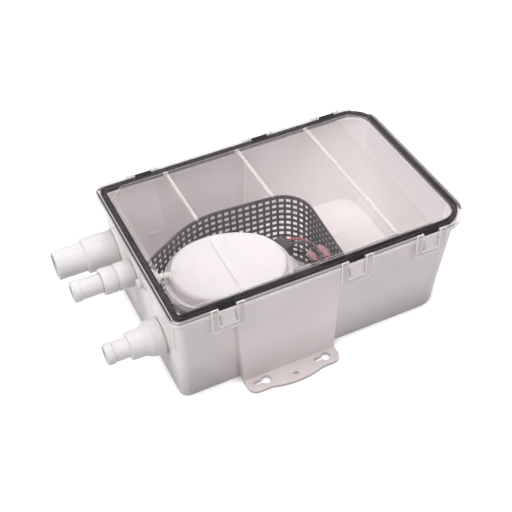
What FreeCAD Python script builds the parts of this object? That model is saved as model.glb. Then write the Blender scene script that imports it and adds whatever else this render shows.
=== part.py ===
import FreeCAD
import Part
import math
import os
from FreeCAD import Vector

# Frame: the origin lies on the plane that the tank stands on, under the middle of the lid's seal.
# +X runs along the tank away from the hose fittings, +Y to the back, +Z up. All sizes are in mm.

# Lid's plan, which the rim and the walls follow
lid_half_length = 149.5
lid_half_width = 101.0
lid_fitting_corner = 9.0
lid_far_corner = 28.0

# Tank: the walls lean inwards towards the floor, the pedestal panels stand out to the rim's edge
seal_top = 110.5
gasket_height = 4.5
rim_top = seal_top - gasket_height
rim_thickness = 4.0
wall = 2.6
floor_thickness = 3.0
fitting_end_x = 5.0 - lid_half_length
far_end_x_at_rim = lid_half_length - 6.5
far_end_x_at_floor = far_end_x_at_rim - 12.0
side_y_at_rim = lid_half_width - 4.0
side_y_at_floor = side_y_at_rim - 7.0
fitting_corner_radius = 8.0
far_corner_radius = 22.0
rim_inner_x = lid_half_length - 9.5
rim_inner_y = side_y_at_rim - 5.1
panel_centre_x = fitting_end_x + 104.0
panel_half_width_at_rim = 51.5
panel_half_width_at_foot = 46.5
panel_y_at_rim = lid_half_width
panel_y_at_foot = panel_y_at_rim - 1.0

# Mounting foot on each long side, with two keyholes and a centre hole
foot_thickness = 3.0
foot_half_length = 47.0
foot_corner = 8.5
foot_edge_y = panel_y_at_foot + 16.5
foot_bump_y = foot_edge_y + 4.3
foot_bump_half = 26.0
keyhole_spacing = 62.0
keyhole_y = foot_edge_y - 9.5
keyhole_head_x = panel_centre_x - 27.7
keyhole_head_radius = 4.8
keyhole_slot_length = 12.6
keyhole_slot_radius = 2.2
centre_hole_y = foot_edge_y - 3.5
centre_hole_radius = 2.6

# Flat pads moulded on the tank: outside beside the outlet, on the floor, and in the back corner
wall_pad = (2.0 - side_y_at_floor, 56.0 - side_y_at_floor, 64.0, rim_top - 8.0)
wall_pad_proud = 1.2
floor_pad = (far_end_x_at_floor - 59.0, far_end_x_at_floor - 35.0, 36.0, 52.0)
floor_pad_height = 0.8
corner_pad = (fitting_end_x + 40.5, fitting_end_x + 55.5, 18.0, 40.0)
corner_pad_proud = 0.7

# Lid, gasket and snap clips
lid_plate = 3.0
skirt_thickness = 2.5
skirt_gap = 1.0
gasket_half_length = lid_half_length - 6.5
gasket_half_width = lid_half_width - 6.2
gasket_width = 5.0
gasket_fitting_corner = 5.0
gasket_far_corner = 22.0
locating_rib_x = gasket_half_length - 4.2
locating_rib_y = gasket_half_width - 4.2
locating_rib_chamfer = 14.0
locating_rib_width = 1.6
locating_rib_depth = 3.0
cross_rib_places = (fitting_end_x + 65.5, -2.0, far_end_x_at_rim - 68.4)
cross_rib_width = 2.0
cross_rib_depth = 2.2
clip_places = {"left": fitting_end_x + 45.3, "middle": 26.4, "right": far_end_x_at_rim - 39.5}
clip_width = 32.0
clip_window = 17.0
clip_thickness = 2.2
clip_gap = 0.3
clip_bottom = seal_top - 28.0
clip_bar = 8.0
clip_top = seal_top + 1.5
cutout_depth = 2.4
catch_width = 13.0
catch_gap = 0.4
catch_reach = 2.2
catch_lip = 1.6

# Pump: an oval turned about its own upright axis
pump_half_length = 55.0
pump_x = fitting_end_x + 23.5 + pump_half_length
pump_y = 64.0 - side_y_at_floor
pump_turn = -13.3
pump_end_x = pump_x + pump_half_length
pump_half_width = 44.7
pump_end_radius = 42.0
pump_top = 80.5
cover_base = 67.5
cover_shell = 2.5
ledge = 5.5
ledge_thickness = 2.0
rim_bead = 1.2
rim_bead_height = 1.2
dome_lean = 1.4
dome_rounding = 4.5
rim_band = 6.0
body_inset = 5.0
body_shell = 2.5
strainer_bottom = 7.0
strainer_top = 20.0
strainer_plate = 2.2
strainer_wall = 2.2
strainer_slots = 14
strainer_slot_width = 3.0
strainer_slot_bottom = 10.6
strainer_slot_height = 7.0
post_radius = 4.5
post_u = pump_half_length - 21.0
post_v = pump_half_width - 18.7
post_places = ((-post_u, 0.0), (post_u, 0.0), (0.0, -post_v), (0.0, post_v))
screw_radius = 1.45
screw_clearance = 0.05
screw_depth = 0.5
screw_head_radius = 3.2
screw_head = 2.2

# Box at the pump's end that the leads pass through
lead_box = (pump_end_x - 9.0, pump_end_x + 13.5, pump_y - 14.0, pump_y + 13.0)
lead_box_bottom = 40.0
lead_box_top = 57.0

# Impeller chamber, motor and float, placed along the pump's own long axis
motor_u = 35.0 - pump_half_length
float_u = pump_half_length - 26.0
deck_bottom = 38.0
deck_top = 41.0
chamber_radius = 22.0
chamber_wall = 2.5
eye_radius = 10.0
impeller_radius = 19.0
impeller_bottom = 24.0
impeller_top = 36.0
impeller_hub = 5.0
impeller_shroud = 2.0
impeller_vanes = 5
vane_thickness = 1.8
shaft_radius = 1.6
running_gap = 0.08
seal_radius = 6.0
seal_thickness = 2.0
motor_radius = 17.0
motor_top = 73.0
motor_shell = 1.2
bell_thickness = 3.0
bearing_radius = 5.0
bearing_thickness = 3.5
armature_radius = 12.0
armature_bottom = 49.0
armature_top = 65.0
float_radius = 12.0
float_bottom = 23.5
float_height = 18.0
float_travel = 12.0
float_tube = 2.0
float_side_gap = 2.0
float_roof = 58.0
stem_radius = 1.5
stem_gap = 0.5
switch_size = (20.0, 6.5, 11.0)
switch_offset = 6.0

# Filter screen: a grid on edge along a hook-shaped route, seen from above
screen_route = (
    (fitting_end_x + 5.3, pump_y + 27.3),
    (pump_x - 6.0, pump_y + 68.0),
    (pump_end_x + 49.0, pump_y + 58.0),
    (pump_end_x + 41.5, -side_y_at_floor - 1.4),
)
screen_bend_radii = (90.0, 30.0)
screen_pitch = 7.15
screen_hole = 4.8
screen_rows = 11
screen_border = 3.6
screen_thickness = 1.6
guide_thickness = 1.8
guide_reach = 4.2
guide_gap = 0.8
screen_gap = 0.4

# Pump outlet: a duct out of the chamber, an elbow and a nozzle towards the fittings
duct_offset = 14.5
duct_radius = 9.4
duct_bore = 7.0
nozzle_y = 13.2 - side_y_at_floor
nozzle_z = 30.25
nozzle_end_x = fitting_end_x + 54.0
nozzle_root_x = nozzle_end_x + 10.5
nozzle_neck = 8.2

# Fittings in the end wall: y and z of each axis
boss_proud = 1.5
boss_inside = 4.5
washer_thickness = 1.3
nut_thickness = 5.0
nut_gap = 0.1
hole_gap = 0.3
outlet_y = nozzle_y + 24.8
outlet_z = 49.5
outlet_flange_radius = 18.3
outlet_body_radius = 17.2
outlet_shank_radius = 12.0
outlet_bore = 7.5
outlet_chamber = 13.6
outlet_split_x = fitting_end_x - 12.5
outlet_cone_x = outlet_split_x - 9.0
outlet_stage_x = outlet_cone_x - 12.0
outlet_tip_x = outlet_stage_x - 22.0
stage_radius = 13.7
tail_radius = 9.8
tail_bore = 7.6
barb_rise = 0.8
barb_length = 8.0
flap_thickness = 1.5
flap_lift = 0.15
outlet_flap_radius = 9.2
flap_ear = 1.6
flap_ear_half = 2.5
middle_y = pump_y + 39.0
middle_z = 72.5
middle_body_radius = 13.3
middle_shank_radius = 9.5
middle_bore = 7.2
middle_chamber = 10.9
middle_body_end = fitting_end_x - 18.5
middle_groove_end = middle_body_end - 1.8
collar_end_x = middle_groove_end - 12.7
collar_radius = 13.0
middle_tip_x = collar_end_x - 28.5
middle_flap_radius = 8.2
back_y = side_y_at_floor - 22.5
back_z = 60.0
back_large_radius = 17.8
back_small_radius = 14.7
back_step_x = fitting_end_x - 33.5
back_tip_x = back_step_x - 29.0
back_shank_radius = 14.0
back_bore = 11.8
shank_end_x = fitting_end_x + 10.5

# Discharge hose from the nozzle to the outlet fitting
hose_radius = 11.0
hose_bore = 8.3
hose_corners_x = (fitting_end_x + 35.5, fitting_end_x + 32.5)
hose_bend_radius = 14.5
hose_start_x = nozzle_root_x - 0.3
hose_end_x = shank_end_x + 0.3
inner_barb_end_x = shank_end_x + 7.0
clamp_thickness = 1.4
clamp_width = 7.0
clamp_inset = 1.5

# Cable inlet and the leads beside the pump
gland_y = pump_y + 14.0
gland_z = pump_top - 0.5
gland_radius = 5.0
gland_tip_x = fitting_end_x - 6.5
gland_shank = 4.4
gland_nut_radius = 8.5
gland_nut_end_x = fitting_end_x + 14.5
cable_radius = 2.8
cable_route = (
    (fitting_end_x - 4.5, gland_y, gland_z),
    (fitting_end_x + 17.5, gland_y, gland_z),
    (fitting_end_x + 33.0, gland_y - 1.2, gland_z - 2.4),
)
cable_bend_radius = 60.0
cable_boss_radius = 4.6
cable_boss_length = 14.0
relief_size = (14.0, 17.0, 12.0)
relief_corner = (pump_end_x + 1.5, pump_y + 5.0, lead_box_top)
wire_radius = 1.3
wire_gap = 0.1
sleeve_radius = 3.4
sleeve_length = 17.0


def flat_outline(x_low, x_high, half_y, r_low, r_high, z):
    """Closed wire of a rectangle with round corners, r_low at the fitting end and r_high at the far end."""
    corners = (
        (x_high, half_y, r_high, -1.0, -1.0),
        (x_low, half_y, r_low, 1.0, -1.0),
        (x_low, -half_y, r_low, 1.0, 1.0),
        (x_high, -half_y, r_high, -1.0, 1.0),
    )
    bulge = 1.0 - math.sqrt(0.5)
    arcs = []
    for index, (x, y, r, sx, sy) in enumerate(corners):
        beside_x = Vector(x, y + sy * r, z)
        beside_y = Vector(x + sx * r, y, z)
        middle = Vector(x + sx * r * bulge, y + sy * r * bulge, z)
        start, end = (beside_x, beside_y) if index % 2 == 0 else (beside_y, beside_x)
        arcs.append((start, middle, end))
    edges = []
    for index, (start, middle, end) in enumerate(arcs):
        edges.append(Part.Arc(start, middle, end).toShape())
        following = arcs[(index + 1) % 4][0]
        edges.append(Part.LineSegment(end, following).toShape())
    return Part.Wire(edges)


def prism(wire, height):
    """Upright solid on a closed flat wire."""
    return Part.Face(wire).extrude(Vector(0, 0, height))


def block(x_low, x_high, y_low, y_high, z_low, z_high):
    """Rectangular solid between two corners."""
    size = (x_high - x_low, y_high - y_low, z_high - z_low)
    return Part.makeBox(*size, Vector(x_low, y_low, z_low))


def upright(radius, x, y, z_low, z_high):
    """Round rod along Z."""
    return Part.makeCylinder(radius, z_high - z_low, Vector(x, y, z_low))


def rod(radius, start, end):
    """Round rod between two points."""
    axis = end - start
    return Part.makeCylinder(radius, axis.Length, start, axis)


def turned(profile, y, z):
    """Solid turned about a line along X through y and z; the profile lists x and radius."""
    points = [Vector(x, y, z + r) for x, r in profile]
    face = Part.Face(Part.makePolygon(points + points[:1]))
    return face.revolve(Vector(0, y, z), Vector(1, 0, 0), 360)


def bored(x_high, x_low, radius, y, z):
    """Round hole along X as a tool."""
    return rod(radius, Vector(x_low, y, z), Vector(x_high, y, z))


def mirrored_to_back(shape):
    """Copy on the other long side."""
    return shape.mirror(Vector(0, 0, 0), Vector(0, 1, 0))


def height_share(z):
    """Share of the wall's height at z, for the lean of the walls."""
    return z / (rim_top - rim_thickness)


def tank_outline(z, inset):
    """Outer outline of the drafted walls at height z, moved inwards by inset."""
    share = height_share(z)
    far_x = far_end_x_at_floor + share * (far_end_x_at_rim - far_end_x_at_floor)
    side_y = side_y_at_floor + share * (side_y_at_rim - side_y_at_floor)
    return flat_outline(
        fitting_end_x + inset,
        far_x - inset,
        side_y - inset,
        fitting_corner_radius - inset,
        far_corner_radius - inset,
        z,
    )


def tank_shell(z_low, z_high, inset):
    """Solid of the drafted walls between two heights."""
    return Part.makeLoft([tank_outline(z_low, inset), tank_outline(z_high, inset)], True, True)


def panel_block(z_low, z_high, inset):
    """Front pedestal panel, from its face to behind the wall, moved inwards by inset."""
    wires = []
    for z in (z_low, z_high):
        share = height_share(z)
        half = panel_half_width_at_foot + share * (panel_half_width_at_rim - panel_half_width_at_foot)
        face_y = panel_y_at_foot + share * (panel_y_at_rim - panel_y_at_foot)
        x_low = panel_centre_x - half + inset
        x_high = panel_centre_x + half - inset
        back_y = -side_y_at_floor + 2.0 * wall
        points = [
            Vector(x_low, -face_y + inset, z),
            Vector(x_high, -face_y + inset, z),
            Vector(x_high, back_y, z),
            Vector(x_low, back_y, z),
        ]
        wires.append(Part.makePolygon(points + points[:1]))
    return Part.makeLoft(wires, True, True)


def foot_outline():
    """Wire of the front foot: straight ends with round corners and a soft bump in the middle."""
    x_low = panel_centre_x - foot_half_length
    x_high = panel_centre_x + foot_half_length
    root_y = -panel_y_at_foot + 2.0
    corner_y = -foot_edge_y + foot_corner
    bulge = foot_corner * (1.0 - math.sqrt(0.5))
    left_corner = Vector(x_low + foot_corner, -foot_edge_y, 0)
    right_corner = Vector(x_high - foot_corner, -foot_edge_y, 0)
    bump_left = Vector(panel_centre_x - foot_bump_half, -foot_edge_y, 0)
    bump_right = Vector(panel_centre_x + foot_bump_half, -foot_edge_y, 0)
    edges = [
        Part.LineSegment(Vector(x_low, root_y, 0), Vector(x_low, corner_y, 0)),
        Part.Arc(Vector(x_low, corner_y, 0), Vector(x_low + bulge, -foot_edge_y + bulge, 0), left_corner),
        Part.LineSegment(left_corner, bump_left),
        Part.Arc(bump_left, Vector(panel_centre_x, -foot_bump_y, 0), bump_right),
        Part.LineSegment(bump_right, right_corner),
        Part.Arc(right_corner, Vector(x_high - bulge, -foot_edge_y + bulge, 0), Vector(x_high, corner_y, 0)),
        Part.LineSegment(Vector(x_high, corner_y, 0), Vector(x_high, root_y, 0)),
        Part.LineSegment(Vector(x_high, root_y, 0), Vector(x_low, root_y, 0)),
    ]
    return Part.Wire([edge.toShape() for edge in edges])


def front_foot():
    """Foot plate with its keyholes and centre hole."""
    foot = prism(foot_outline(), foot_thickness)
    below = -1.0
    above = foot_thickness + 1.0
    for head_x in (keyhole_head_x, keyhole_head_x + keyhole_spacing):
        slot_start = head_x - keyhole_slot_length + keyhole_slot_radius
        foot = foot.cut(upright(keyhole_head_radius, head_x, -keyhole_y, below, above))
        foot = foot.cut(upright(keyhole_slot_radius, slot_start, -keyhole_y, below, above))
        foot = foot.cut(
            block(
                slot_start,
                head_x,
                -keyhole_y - keyhole_slot_radius,
                -keyhole_y + keyhole_slot_radius,
                below,
                above,
            )
        )
    return foot.cut(upright(centre_hole_radius, panel_centre_x, -centre_hole_y, below, above))


def front_catch(x):
    """Wedge under the rim that holds a clip's bar, flat below and sloping above."""
    low = clip_bottom + clip_bar + catch_gap
    high = rim_top - rim_thickness + 0.5
    tip_y = -lid_half_width - catch_reach
    root_y = -side_y_at_floor - 3.0
    points = [
        Vector(x - catch_width / 2, root_y, low),
        Vector(x - catch_width / 2, tip_y, low),
        Vector(x - catch_width / 2, tip_y, low + catch_lip),
        Vector(x - catch_width / 2, -lid_half_width, high),
        Vector(x - catch_width / 2, root_y, high),
    ]
    face = Part.Face(Part.makePolygon(points + points[:1]))
    return face.extrude(Vector(catch_width, 0, 0))


def pump_point(u, v, z):
    """Point in the frame from the pump's own long and short axes."""
    turn = math.radians(pump_turn)
    x = pump_x + u * math.cos(turn) - v * math.sin(turn)
    y = pump_y + u * math.sin(turn) + v * math.cos(turn)
    return Vector(x, y, z)


def pump_oval(offset, z):
    """Wire of the pump's oval of four tangent arcs, moved outwards by offset."""
    centre_u = pump_half_length - pump_end_radius
    squares = centre_u ** 2 + pump_half_width ** 2 - pump_end_radius ** 2
    side_radius = squares / (2.0 * (pump_half_width - pump_end_radius))
    centre_v = side_radius - pump_half_width
    slope = math.hypot(centre_u, centre_v)
    radius = pump_end_radius + offset
    tangent_u = centre_u + radius * centre_u / slope
    tangent_v = radius * centre_v / slope
    long_half = pump_half_length + offset
    short_half = pump_half_width + offset
    right = (pump_point(tangent_u, -tangent_v, z), pump_point(long_half, 0, z))
    top = (pump_point(tangent_u, tangent_v, z), pump_point(0, short_half, z))
    left = (pump_point(-tangent_u, tangent_v, z), pump_point(-long_half, 0, z))
    bottom = (pump_point(-tangent_u, -tangent_v, z), pump_point(0, -short_half, z))
    sides = (right, top, left, bottom)
    edges = []
    for index, (start, middle) in enumerate(sides):
        edges.append(Part.Arc(start, middle, sides[(index + 1) % 4][0]).toShape())
    return Part.Wire(edges)


def oval_block(offset, z_low, z_high):
    """Upright solid on the pump's oval."""
    return prism(pump_oval(offset, z_low), z_high - z_low)


def guide_ribs():
    """Pairs of ribs that hold the screen's two ends."""
    end_y = screen_route[0][1]
    end_x = screen_route[-1][0]
    top = floor_thickness + screen_height()
    inner_wall_x = fitting_end_x + wall
    half = screen_thickness / 2 + guide_gap
    slant = 2.2
    ribs = [
        block(inner_wall_x - 1, inner_wall_x + guide_reach, end_y - half - guide_thickness - 0.4,
              end_y - half - 0.4, floor_thickness - 1, top),
        block(inner_wall_x - 1, inner_wall_x + guide_reach, end_y + half + slant,
              end_y + half + slant + guide_thickness, floor_thickness - 1, middle_z - middle_body_radius - 3.0),
    ]
    for side in (-1, 1):
        near = end_x + side * half
        far = end_x + side * (half + guide_thickness)
        ribs.append(
            block(min(near, far), max(near, far), -side_y_at_rim + 1.0, -side_y_at_floor + guide_reach,
                  floor_thickness - 1, top)
        )
    return ribs


def screen_height():
    """Height of the screen with its two borders."""
    return (screen_rows - 1) * screen_pitch + screen_hole + 2.0 * screen_border


def sump_box():
    rim_bottom = rim_top - rim_thickness
    outside = tank_shell(0, rim_bottom, 0)
    for panel in (panel_block(0, rim_bottom, 0), mirrored_to_back(panel_block(0, rim_bottom, 0))):
        outside = outside.fuse(panel)
    rim = prism(
        flat_outline(-lid_half_length, lid_half_length, lid_half_width, lid_fitting_corner, lid_far_corner, rim_bottom),
        rim_thickness,
    )
    rim_hole = prism(
        flat_outline(
            -rim_inner_x,
            rim_inner_x,
            rim_inner_y,
            fitting_corner_radius - wall,
            far_corner_radius - wall,
            rim_bottom - 1,
        ),
        rim_thickness + 2,
    )
    outside = outside.fuse(rim)
    for x in clip_places.values():
        outside = outside.fuse(front_catch(x))
        outside = outside.fuse(mirrored_to_back(front_catch(x)))
    for y, z, radius in fitting_bosses():
        outside = outside.fuse(bored(fitting_end_x + wall, fitting_end_x - boss_proud, radius, y, z))
    inside = tank_shell(floor_thickness, rim_bottom, wall)
    panel_inside = panel_block(floor_thickness, rim_bottom, wall)
    for panel in (panel_inside, mirrored_to_back(panel_inside)):
        inside = inside.fuse(panel)
    ribs = guide_ribs()
    tank = outside.cut(inside).cut(rim_hole)
    limits = tank_shell(0, rim_bottom, wall / 2)
    for rib in ribs:
        tank = tank.fuse(rib.common(limits))
    for y, z, radius in fitting_bosses():
        inner_boss = bored(fitting_end_x + boss_inside, fitting_end_x + 1, radius, y, z)
        tank = tank.fuse(inner_boss)
    for u, v in post_places:
        place = pump_point(u, v, 0)
        tank = tank.fuse(upright(post_radius, place.x, place.y, floor_thickness - 1, strainer_bottom))
    for u, v in post_places[:2]:
        place = pump_point(u, v, 0)
        hole_radius = screw_radius + screw_clearance
        tank = tank.cut(upright(hole_radius, place.x, place.y, floor_thickness - screw_depth, strainer_bottom))
    for y, z, radius in fitting_holes():
        tank = tank.cut(bored(fitting_end_x + boss_inside + 1, fitting_end_x - boss_proud - 1, radius, y, z))
    for pad in moulded_pads():
        tank = tank.fuse(pad)
    foot = front_foot()
    tank = tank.fuse(foot).fuse(mirrored_to_back(foot))
    return tank.removeSplitter()


def moulded_pads():
    """Thin flat pads outside beside the outlet, on the floor and inside the back wall."""
    y_low, y_high, z_low, z_high = wall_pad
    outside = block(fitting_end_x - wall_pad_proud, fitting_end_x + 1.0, y_low, y_high, z_low, z_high)
    outside = outside.cut(bored(fitting_end_x + 2, fitting_end_x - 3, outlet_shank_radius + hole_gap, outlet_y, outlet_z))
    x_low, x_high, y_low, y_high = floor_pad
    floor = block(x_low, x_high, y_low, y_high, floor_thickness - 1.0, floor_thickness + floor_pad_height)
    x_low, x_high, z_low, z_high = corner_pad
    rim_bottom = rim_top - rim_thickness
    corner = block(x_low, x_high, side_y_at_floor - 10.0, side_y_at_rim, z_low, z_high)
    corner = corner.common(tank_shell(0, rim_bottom, wall / 2))
    corner = corner.cut(tank_shell(0, rim_bottom, wall + corner_pad_proud))
    return outside, floor, corner


def fitting_bosses():
    """y, z and radius of the flat bosses round the holes in the end wall."""
    return (
        (outlet_y, outlet_z, outlet_flange_radius + 0.7),
        (middle_y, middle_z, middle_body_radius + 0.9),
        (back_y, back_z, back_large_radius + 1.0),
        (gland_y, gland_z, gland_radius + 2.5),
    )


def fitting_holes():
    """y, z and radius of the holes in the end wall."""
    return (
        (outlet_y, outlet_z, outlet_shank_radius + hole_gap),
        (middle_y, middle_z, middle_shank_radius + hole_gap),
        (back_y, back_z, back_shank_radius + hole_gap),
        (gland_y, gland_z, gland_shank + hole_gap),
    )


def lid_gasket():
    half = gasket_width / 2
    outer = flat_outline(
        -gasket_half_length - half,
        gasket_half_length + half,
        gasket_half_width + half,
        gasket_fitting_corner + half,
        gasket_far_corner + half,
        rim_top,
    )
    inner = flat_outline(
        -gasket_half_length + half,
        gasket_half_length - half,
        gasket_half_width - half,
        gasket_fitting_corner - half,
        gasket_far_corner - half,
        rim_top,
    )
    return prism(outer, gasket_height).cut(prism(inner, gasket_height))


def chamfered_outline(half_x, half_y, chamfer, z):
    """Closed wire of a rectangle with its corners cut off."""
    points = []
    for sx, sy in ((1, 1), (-1, 1), (-1, -1), (1, -1)):
        near_side = Vector(sx * half_x, sy * (half_y - chamfer), z)
        near_end = Vector(sx * (half_x - chamfer), sy * half_y, z)
        points.extend((near_side, near_end) if sx * sy > 0 else (near_end, near_side))
    return Part.makePolygon(points + points[:1])


def lid():
    skirt_bottom = rim_top + skirt_gap
    outer = flat_outline(
        -lid_half_length, lid_half_length, lid_half_width, lid_fitting_corner, lid_far_corner, skirt_bottom
    )
    inner = flat_outline(
        -lid_half_length + skirt_thickness,
        lid_half_length - skirt_thickness,
        lid_half_width - skirt_thickness,
        lid_fitting_corner - skirt_thickness,
        lid_far_corner - skirt_thickness,
        skirt_bottom,
    )
    cover = prism(outer, seal_top + lid_plate - skirt_bottom)
    cover = cover.cut(prism(inner, seal_top - skirt_bottom))
    rib_bottom = seal_top - locating_rib_depth
    rib = prism(
        chamfered_outline(locating_rib_x, locating_rib_y, locating_rib_chamfer, rib_bottom),
        locating_rib_depth + 0.5,
    )
    width = locating_rib_width
    rib_core = prism(
        chamfered_outline(
            locating_rib_x - width, locating_rib_y - width, locating_rib_chamfer - 0.6 * width, rib_bottom
        ),
        locating_rib_depth + 0.5,
    )
    cover = cover.fuse(rib.cut(rib_core))
    for x in cross_rib_places:
        reach = locating_rib_y - width / 2
        cross = block(
            x - cross_rib_width / 2, x + cross_rib_width / 2, -reach, reach, seal_top - cross_rib_depth, seal_top + 0.5
        )
        cover = cover.fuse(cross)
    for x in clip_places.values():
        notch = block(
            x - clip_window / 2,
            x + clip_window / 2,
            -lid_half_width - 1,
            -lid_half_width + cutout_depth,
            skirt_bottom - 1,
            seal_top + lid_plate + 1,
        )
        cover = cover.cut(notch).cut(mirrored_to_back(notch))
    return cover.removeSplitter()


def front_clip(x):
    """U-shaped loop that hangs from the lid's edge: two legs, round at their tops, and a bar."""
    inner_y = -lid_half_width - clip_gap
    outer_y = inner_y - clip_thickness
    pivot_z = clip_top - clip_thickness / 2
    body = block(x - clip_width / 2, x + clip_width / 2, outer_y, inner_y, clip_bottom, pivot_z)
    pivot_start = Vector(x - clip_width / 2, inner_y - clip_thickness / 2, pivot_z)
    body = body.fuse(rod(clip_thickness / 2, pivot_start, pivot_start + Vector(clip_width, 0, 0)))
    window = block(
        x - clip_window / 2, x + clip_window / 2, outer_y - 1, inner_y + 1, clip_bottom + clip_bar, clip_top + 1
    )
    loop = body.cut(window).removeSplitter()
    lower_corners = [
        edge
        for edge in loop.Edges
        if abs(edge.CenterOfMass.z - clip_bottom) < 0.01 and abs(edge.CenterOfMass.x - x) > clip_width / 2 - 0.01
    ]
    return loop.makeFillet(3.0, lower_corners)


def screen_wire():
    """Route of the screen seen from above: straight runs joined by tangent arcs."""
    points = [Vector(x, y, floor_thickness) for x, y in screen_route]
    edges = []
    run_start = points[0]
    for index, radius in enumerate(screen_bend_radii):
        before, corner, after = points[index : index + 3]
        incoming = (corner - before).normalize()
        outgoing = (after - corner).normalize()
        half_turn = incoming.getAngle(outgoing) / 2
        reach = radius * math.tan(half_turn)
        start = corner - incoming * reach
        end = corner + outgoing * reach
        towards = (outgoing - incoming).normalize()
        middle = corner + towards * (radius / math.cos(half_turn) - radius)
        edges.append(Part.LineSegment(run_start, start).toShape())
        edges.append(Part.Arc(start, middle, end).toShape())
        run_start = end
    edges.append(Part.LineSegment(run_start, points[-1]).toShape())
    return Part.Wire(edges)


def filter_screen():
    """Grid on edge: one flat panel per column of holes, so the bends follow the route."""
    route = screen_wire()
    columns = int(round(route.Length / screen_pitch))
    knots = route.discretize(Number=columns + 1)
    half = screen_thickness / 2
    left, right = [], []
    for index, knot in enumerate(knots):
        before = (knot - knots[index - 1]).normalize() if index > 0 else None
        after = (knots[index + 1] - knot).normalize() if index < columns else None
        along = (before or after) + (after or before)
        along.normalize()
        stretch = half / (before or after).dot(along)
        across = Vector(-along.y, along.x, 0)
        left.append(knot + across * stretch)
        right.append(knot - across * stretch)
    points = left + right[::-1]
    strip = prism(Part.makePolygon(points + points[:1]), screen_height())
    strip = strip.common(tank_shell(floor_thickness, floor_thickness + screen_height(), wall + screen_gap))
    holes = []
    for start, end in zip(knots, knots[1:-1]):
        along = end - start
        turn = math.degrees(math.atan2(along.y, along.x))
        centre = (start + end) / 2
        for row in range(screen_rows):
            low = floor_thickness + screen_border + row * screen_pitch
            hole = Part.makeBox(
                screen_hole, 4 * screen_thickness, screen_hole, Vector(-screen_hole / 2, -2 * screen_thickness, low)
            )
            hole.rotate(Vector(0, 0, 0), Vector(0, 0, 1), turn)
            hole.translate(Vector(centre.x, centre.y, 0))
            holes.append(hole)
    return strip.cut(Part.makeCompound(holes))


def pump_strainer():
    """Slotted base tray that the pump stands on."""
    tray = oval_block(-body_inset, strainer_bottom, strainer_top)
    tray = tray.cut(oval_block(-body_inset - strainer_wall, strainer_bottom + strainer_plate, strainer_top + 1))
    middle = pump_point(0, 0, 0)
    for index in range(strainer_slots):
        angle = 360.0 * (index + 0.5) / strainer_slots
        slot = Part.makeBox(
            pump_half_length + 10,
            strainer_slot_width,
            strainer_slot_height,
            Vector(0, -strainer_slot_width / 2, strainer_slot_bottom),
        )
        slot.rotate(Vector(0, 0, 0), Vector(0, 0, 1), angle + pump_turn)
        slot.translate(middle)
        tray = tray.cut(slot)
    for u, v in post_places[:2]:
        place = pump_point(u, v, 0)
        hole = upright(screw_radius + 0.3, place.x, place.y, strainer_bottom - 1, strainer_top)
        tray = tray.cut(hole)
    return tray


def strainer_screws():
    """Two pan head screws into the floor posts."""
    screws = []
    for u, v in post_places[:2]:
        place = pump_point(u, v, 0)
        head_z = strainer_bottom + strainer_plate
        shank = upright(screw_radius, place.x, place.y, floor_thickness - screw_depth + 0.3, head_z)
        head = upright(screw_head_radius, place.x, place.y, head_z, head_z + screw_head)
        screws.append(shank.fuse(head))
    return Part.makeCompound(screws)


def duct_x():
    """x of the duct that leaves the impeller chamber."""
    return pump_point(motor_u, 0, 0).x + duct_offset


def elbow(radius, end_x):
    """Duct out of the chamber, round corner and run towards the fittings."""
    chamber = pump_point(motor_u, 0, nozzle_z)
    corner = Vector(duct_x(), nozzle_y, nozzle_z)
    out = rod(radius, Vector(duct_x(), chamber.y, nozzle_z), corner)
    run = rod(radius, corner, Vector(end_x, nozzle_y, nozzle_z))
    ball = Part.makeSphere(radius, corner)
    return out.fuse(ball).fuse(run)


def pump_housing():
    """Body with the impeller chamber, motor deck, float tube, rim, lead box and outlet elbow."""
    motor = pump_point(motor_u, 0, 0)
    float_place = pump_point(float_u, 0, 0)
    rim_low = cover_base - rim_band
    lower = strainer_top + body_shell
    body = oval_block(-body_inset, strainer_top, rim_low).fuse(oval_block(ledge, rim_low, cover_base))
    body = body.fuse(block(*lead_box, lead_box_bottom, lead_box_top))
    body = body.cut(oval_block(ledge - body_shell, rim_low + body_shell, cover_base + 1))
    body = body.cut(oval_block(-body_inset - body_shell, lower, deck_bottom))
    body = body.cut(oval_block(-body_inset - body_shell, deck_top, cover_base))
    ring = upright(chamber_radius + chamber_wall, motor.x, motor.y, lower - 0.5, deck_bottom + 0.5)
    tube_radius = float_radius + float_side_gap + float_tube
    tube = upright(tube_radius, float_place.x, float_place.y, lower - 0.5, float_roof + float_tube)
    body = body.fuse(ring).fuse(tube).fuse(elbow(duct_radius, nozzle_root_x))
    barb = rod(nozzle_neck, Vector(duct_x(), nozzle_y, nozzle_z), Vector(nozzle_end_x, nozzle_y, nozzle_z))
    body = body.fuse(barb)
    body = body.cut(elbow(duct_bore, nozzle_end_x - 1))
    body = body.cut(upright(chamber_radius, motor.x, motor.y, lower, deck_bottom))
    body = body.cut(upright(eye_radius, motor.x, motor.y, strainer_top - 1, lower + 1))
    body = body.cut(upright(seal_radius, motor.x, motor.y, deck_bottom - 1, deck_top + 1))
    bore = float_radius + float_side_gap
    body = body.cut(upright(bore, float_place.x, float_place.y, strainer_top - 1, float_roof))
    body = body.cut(upright(stem_radius + stem_gap, float_place.x, float_place.y, float_roof - 1, cover_base))
    return body.removeSplitter()


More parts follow.
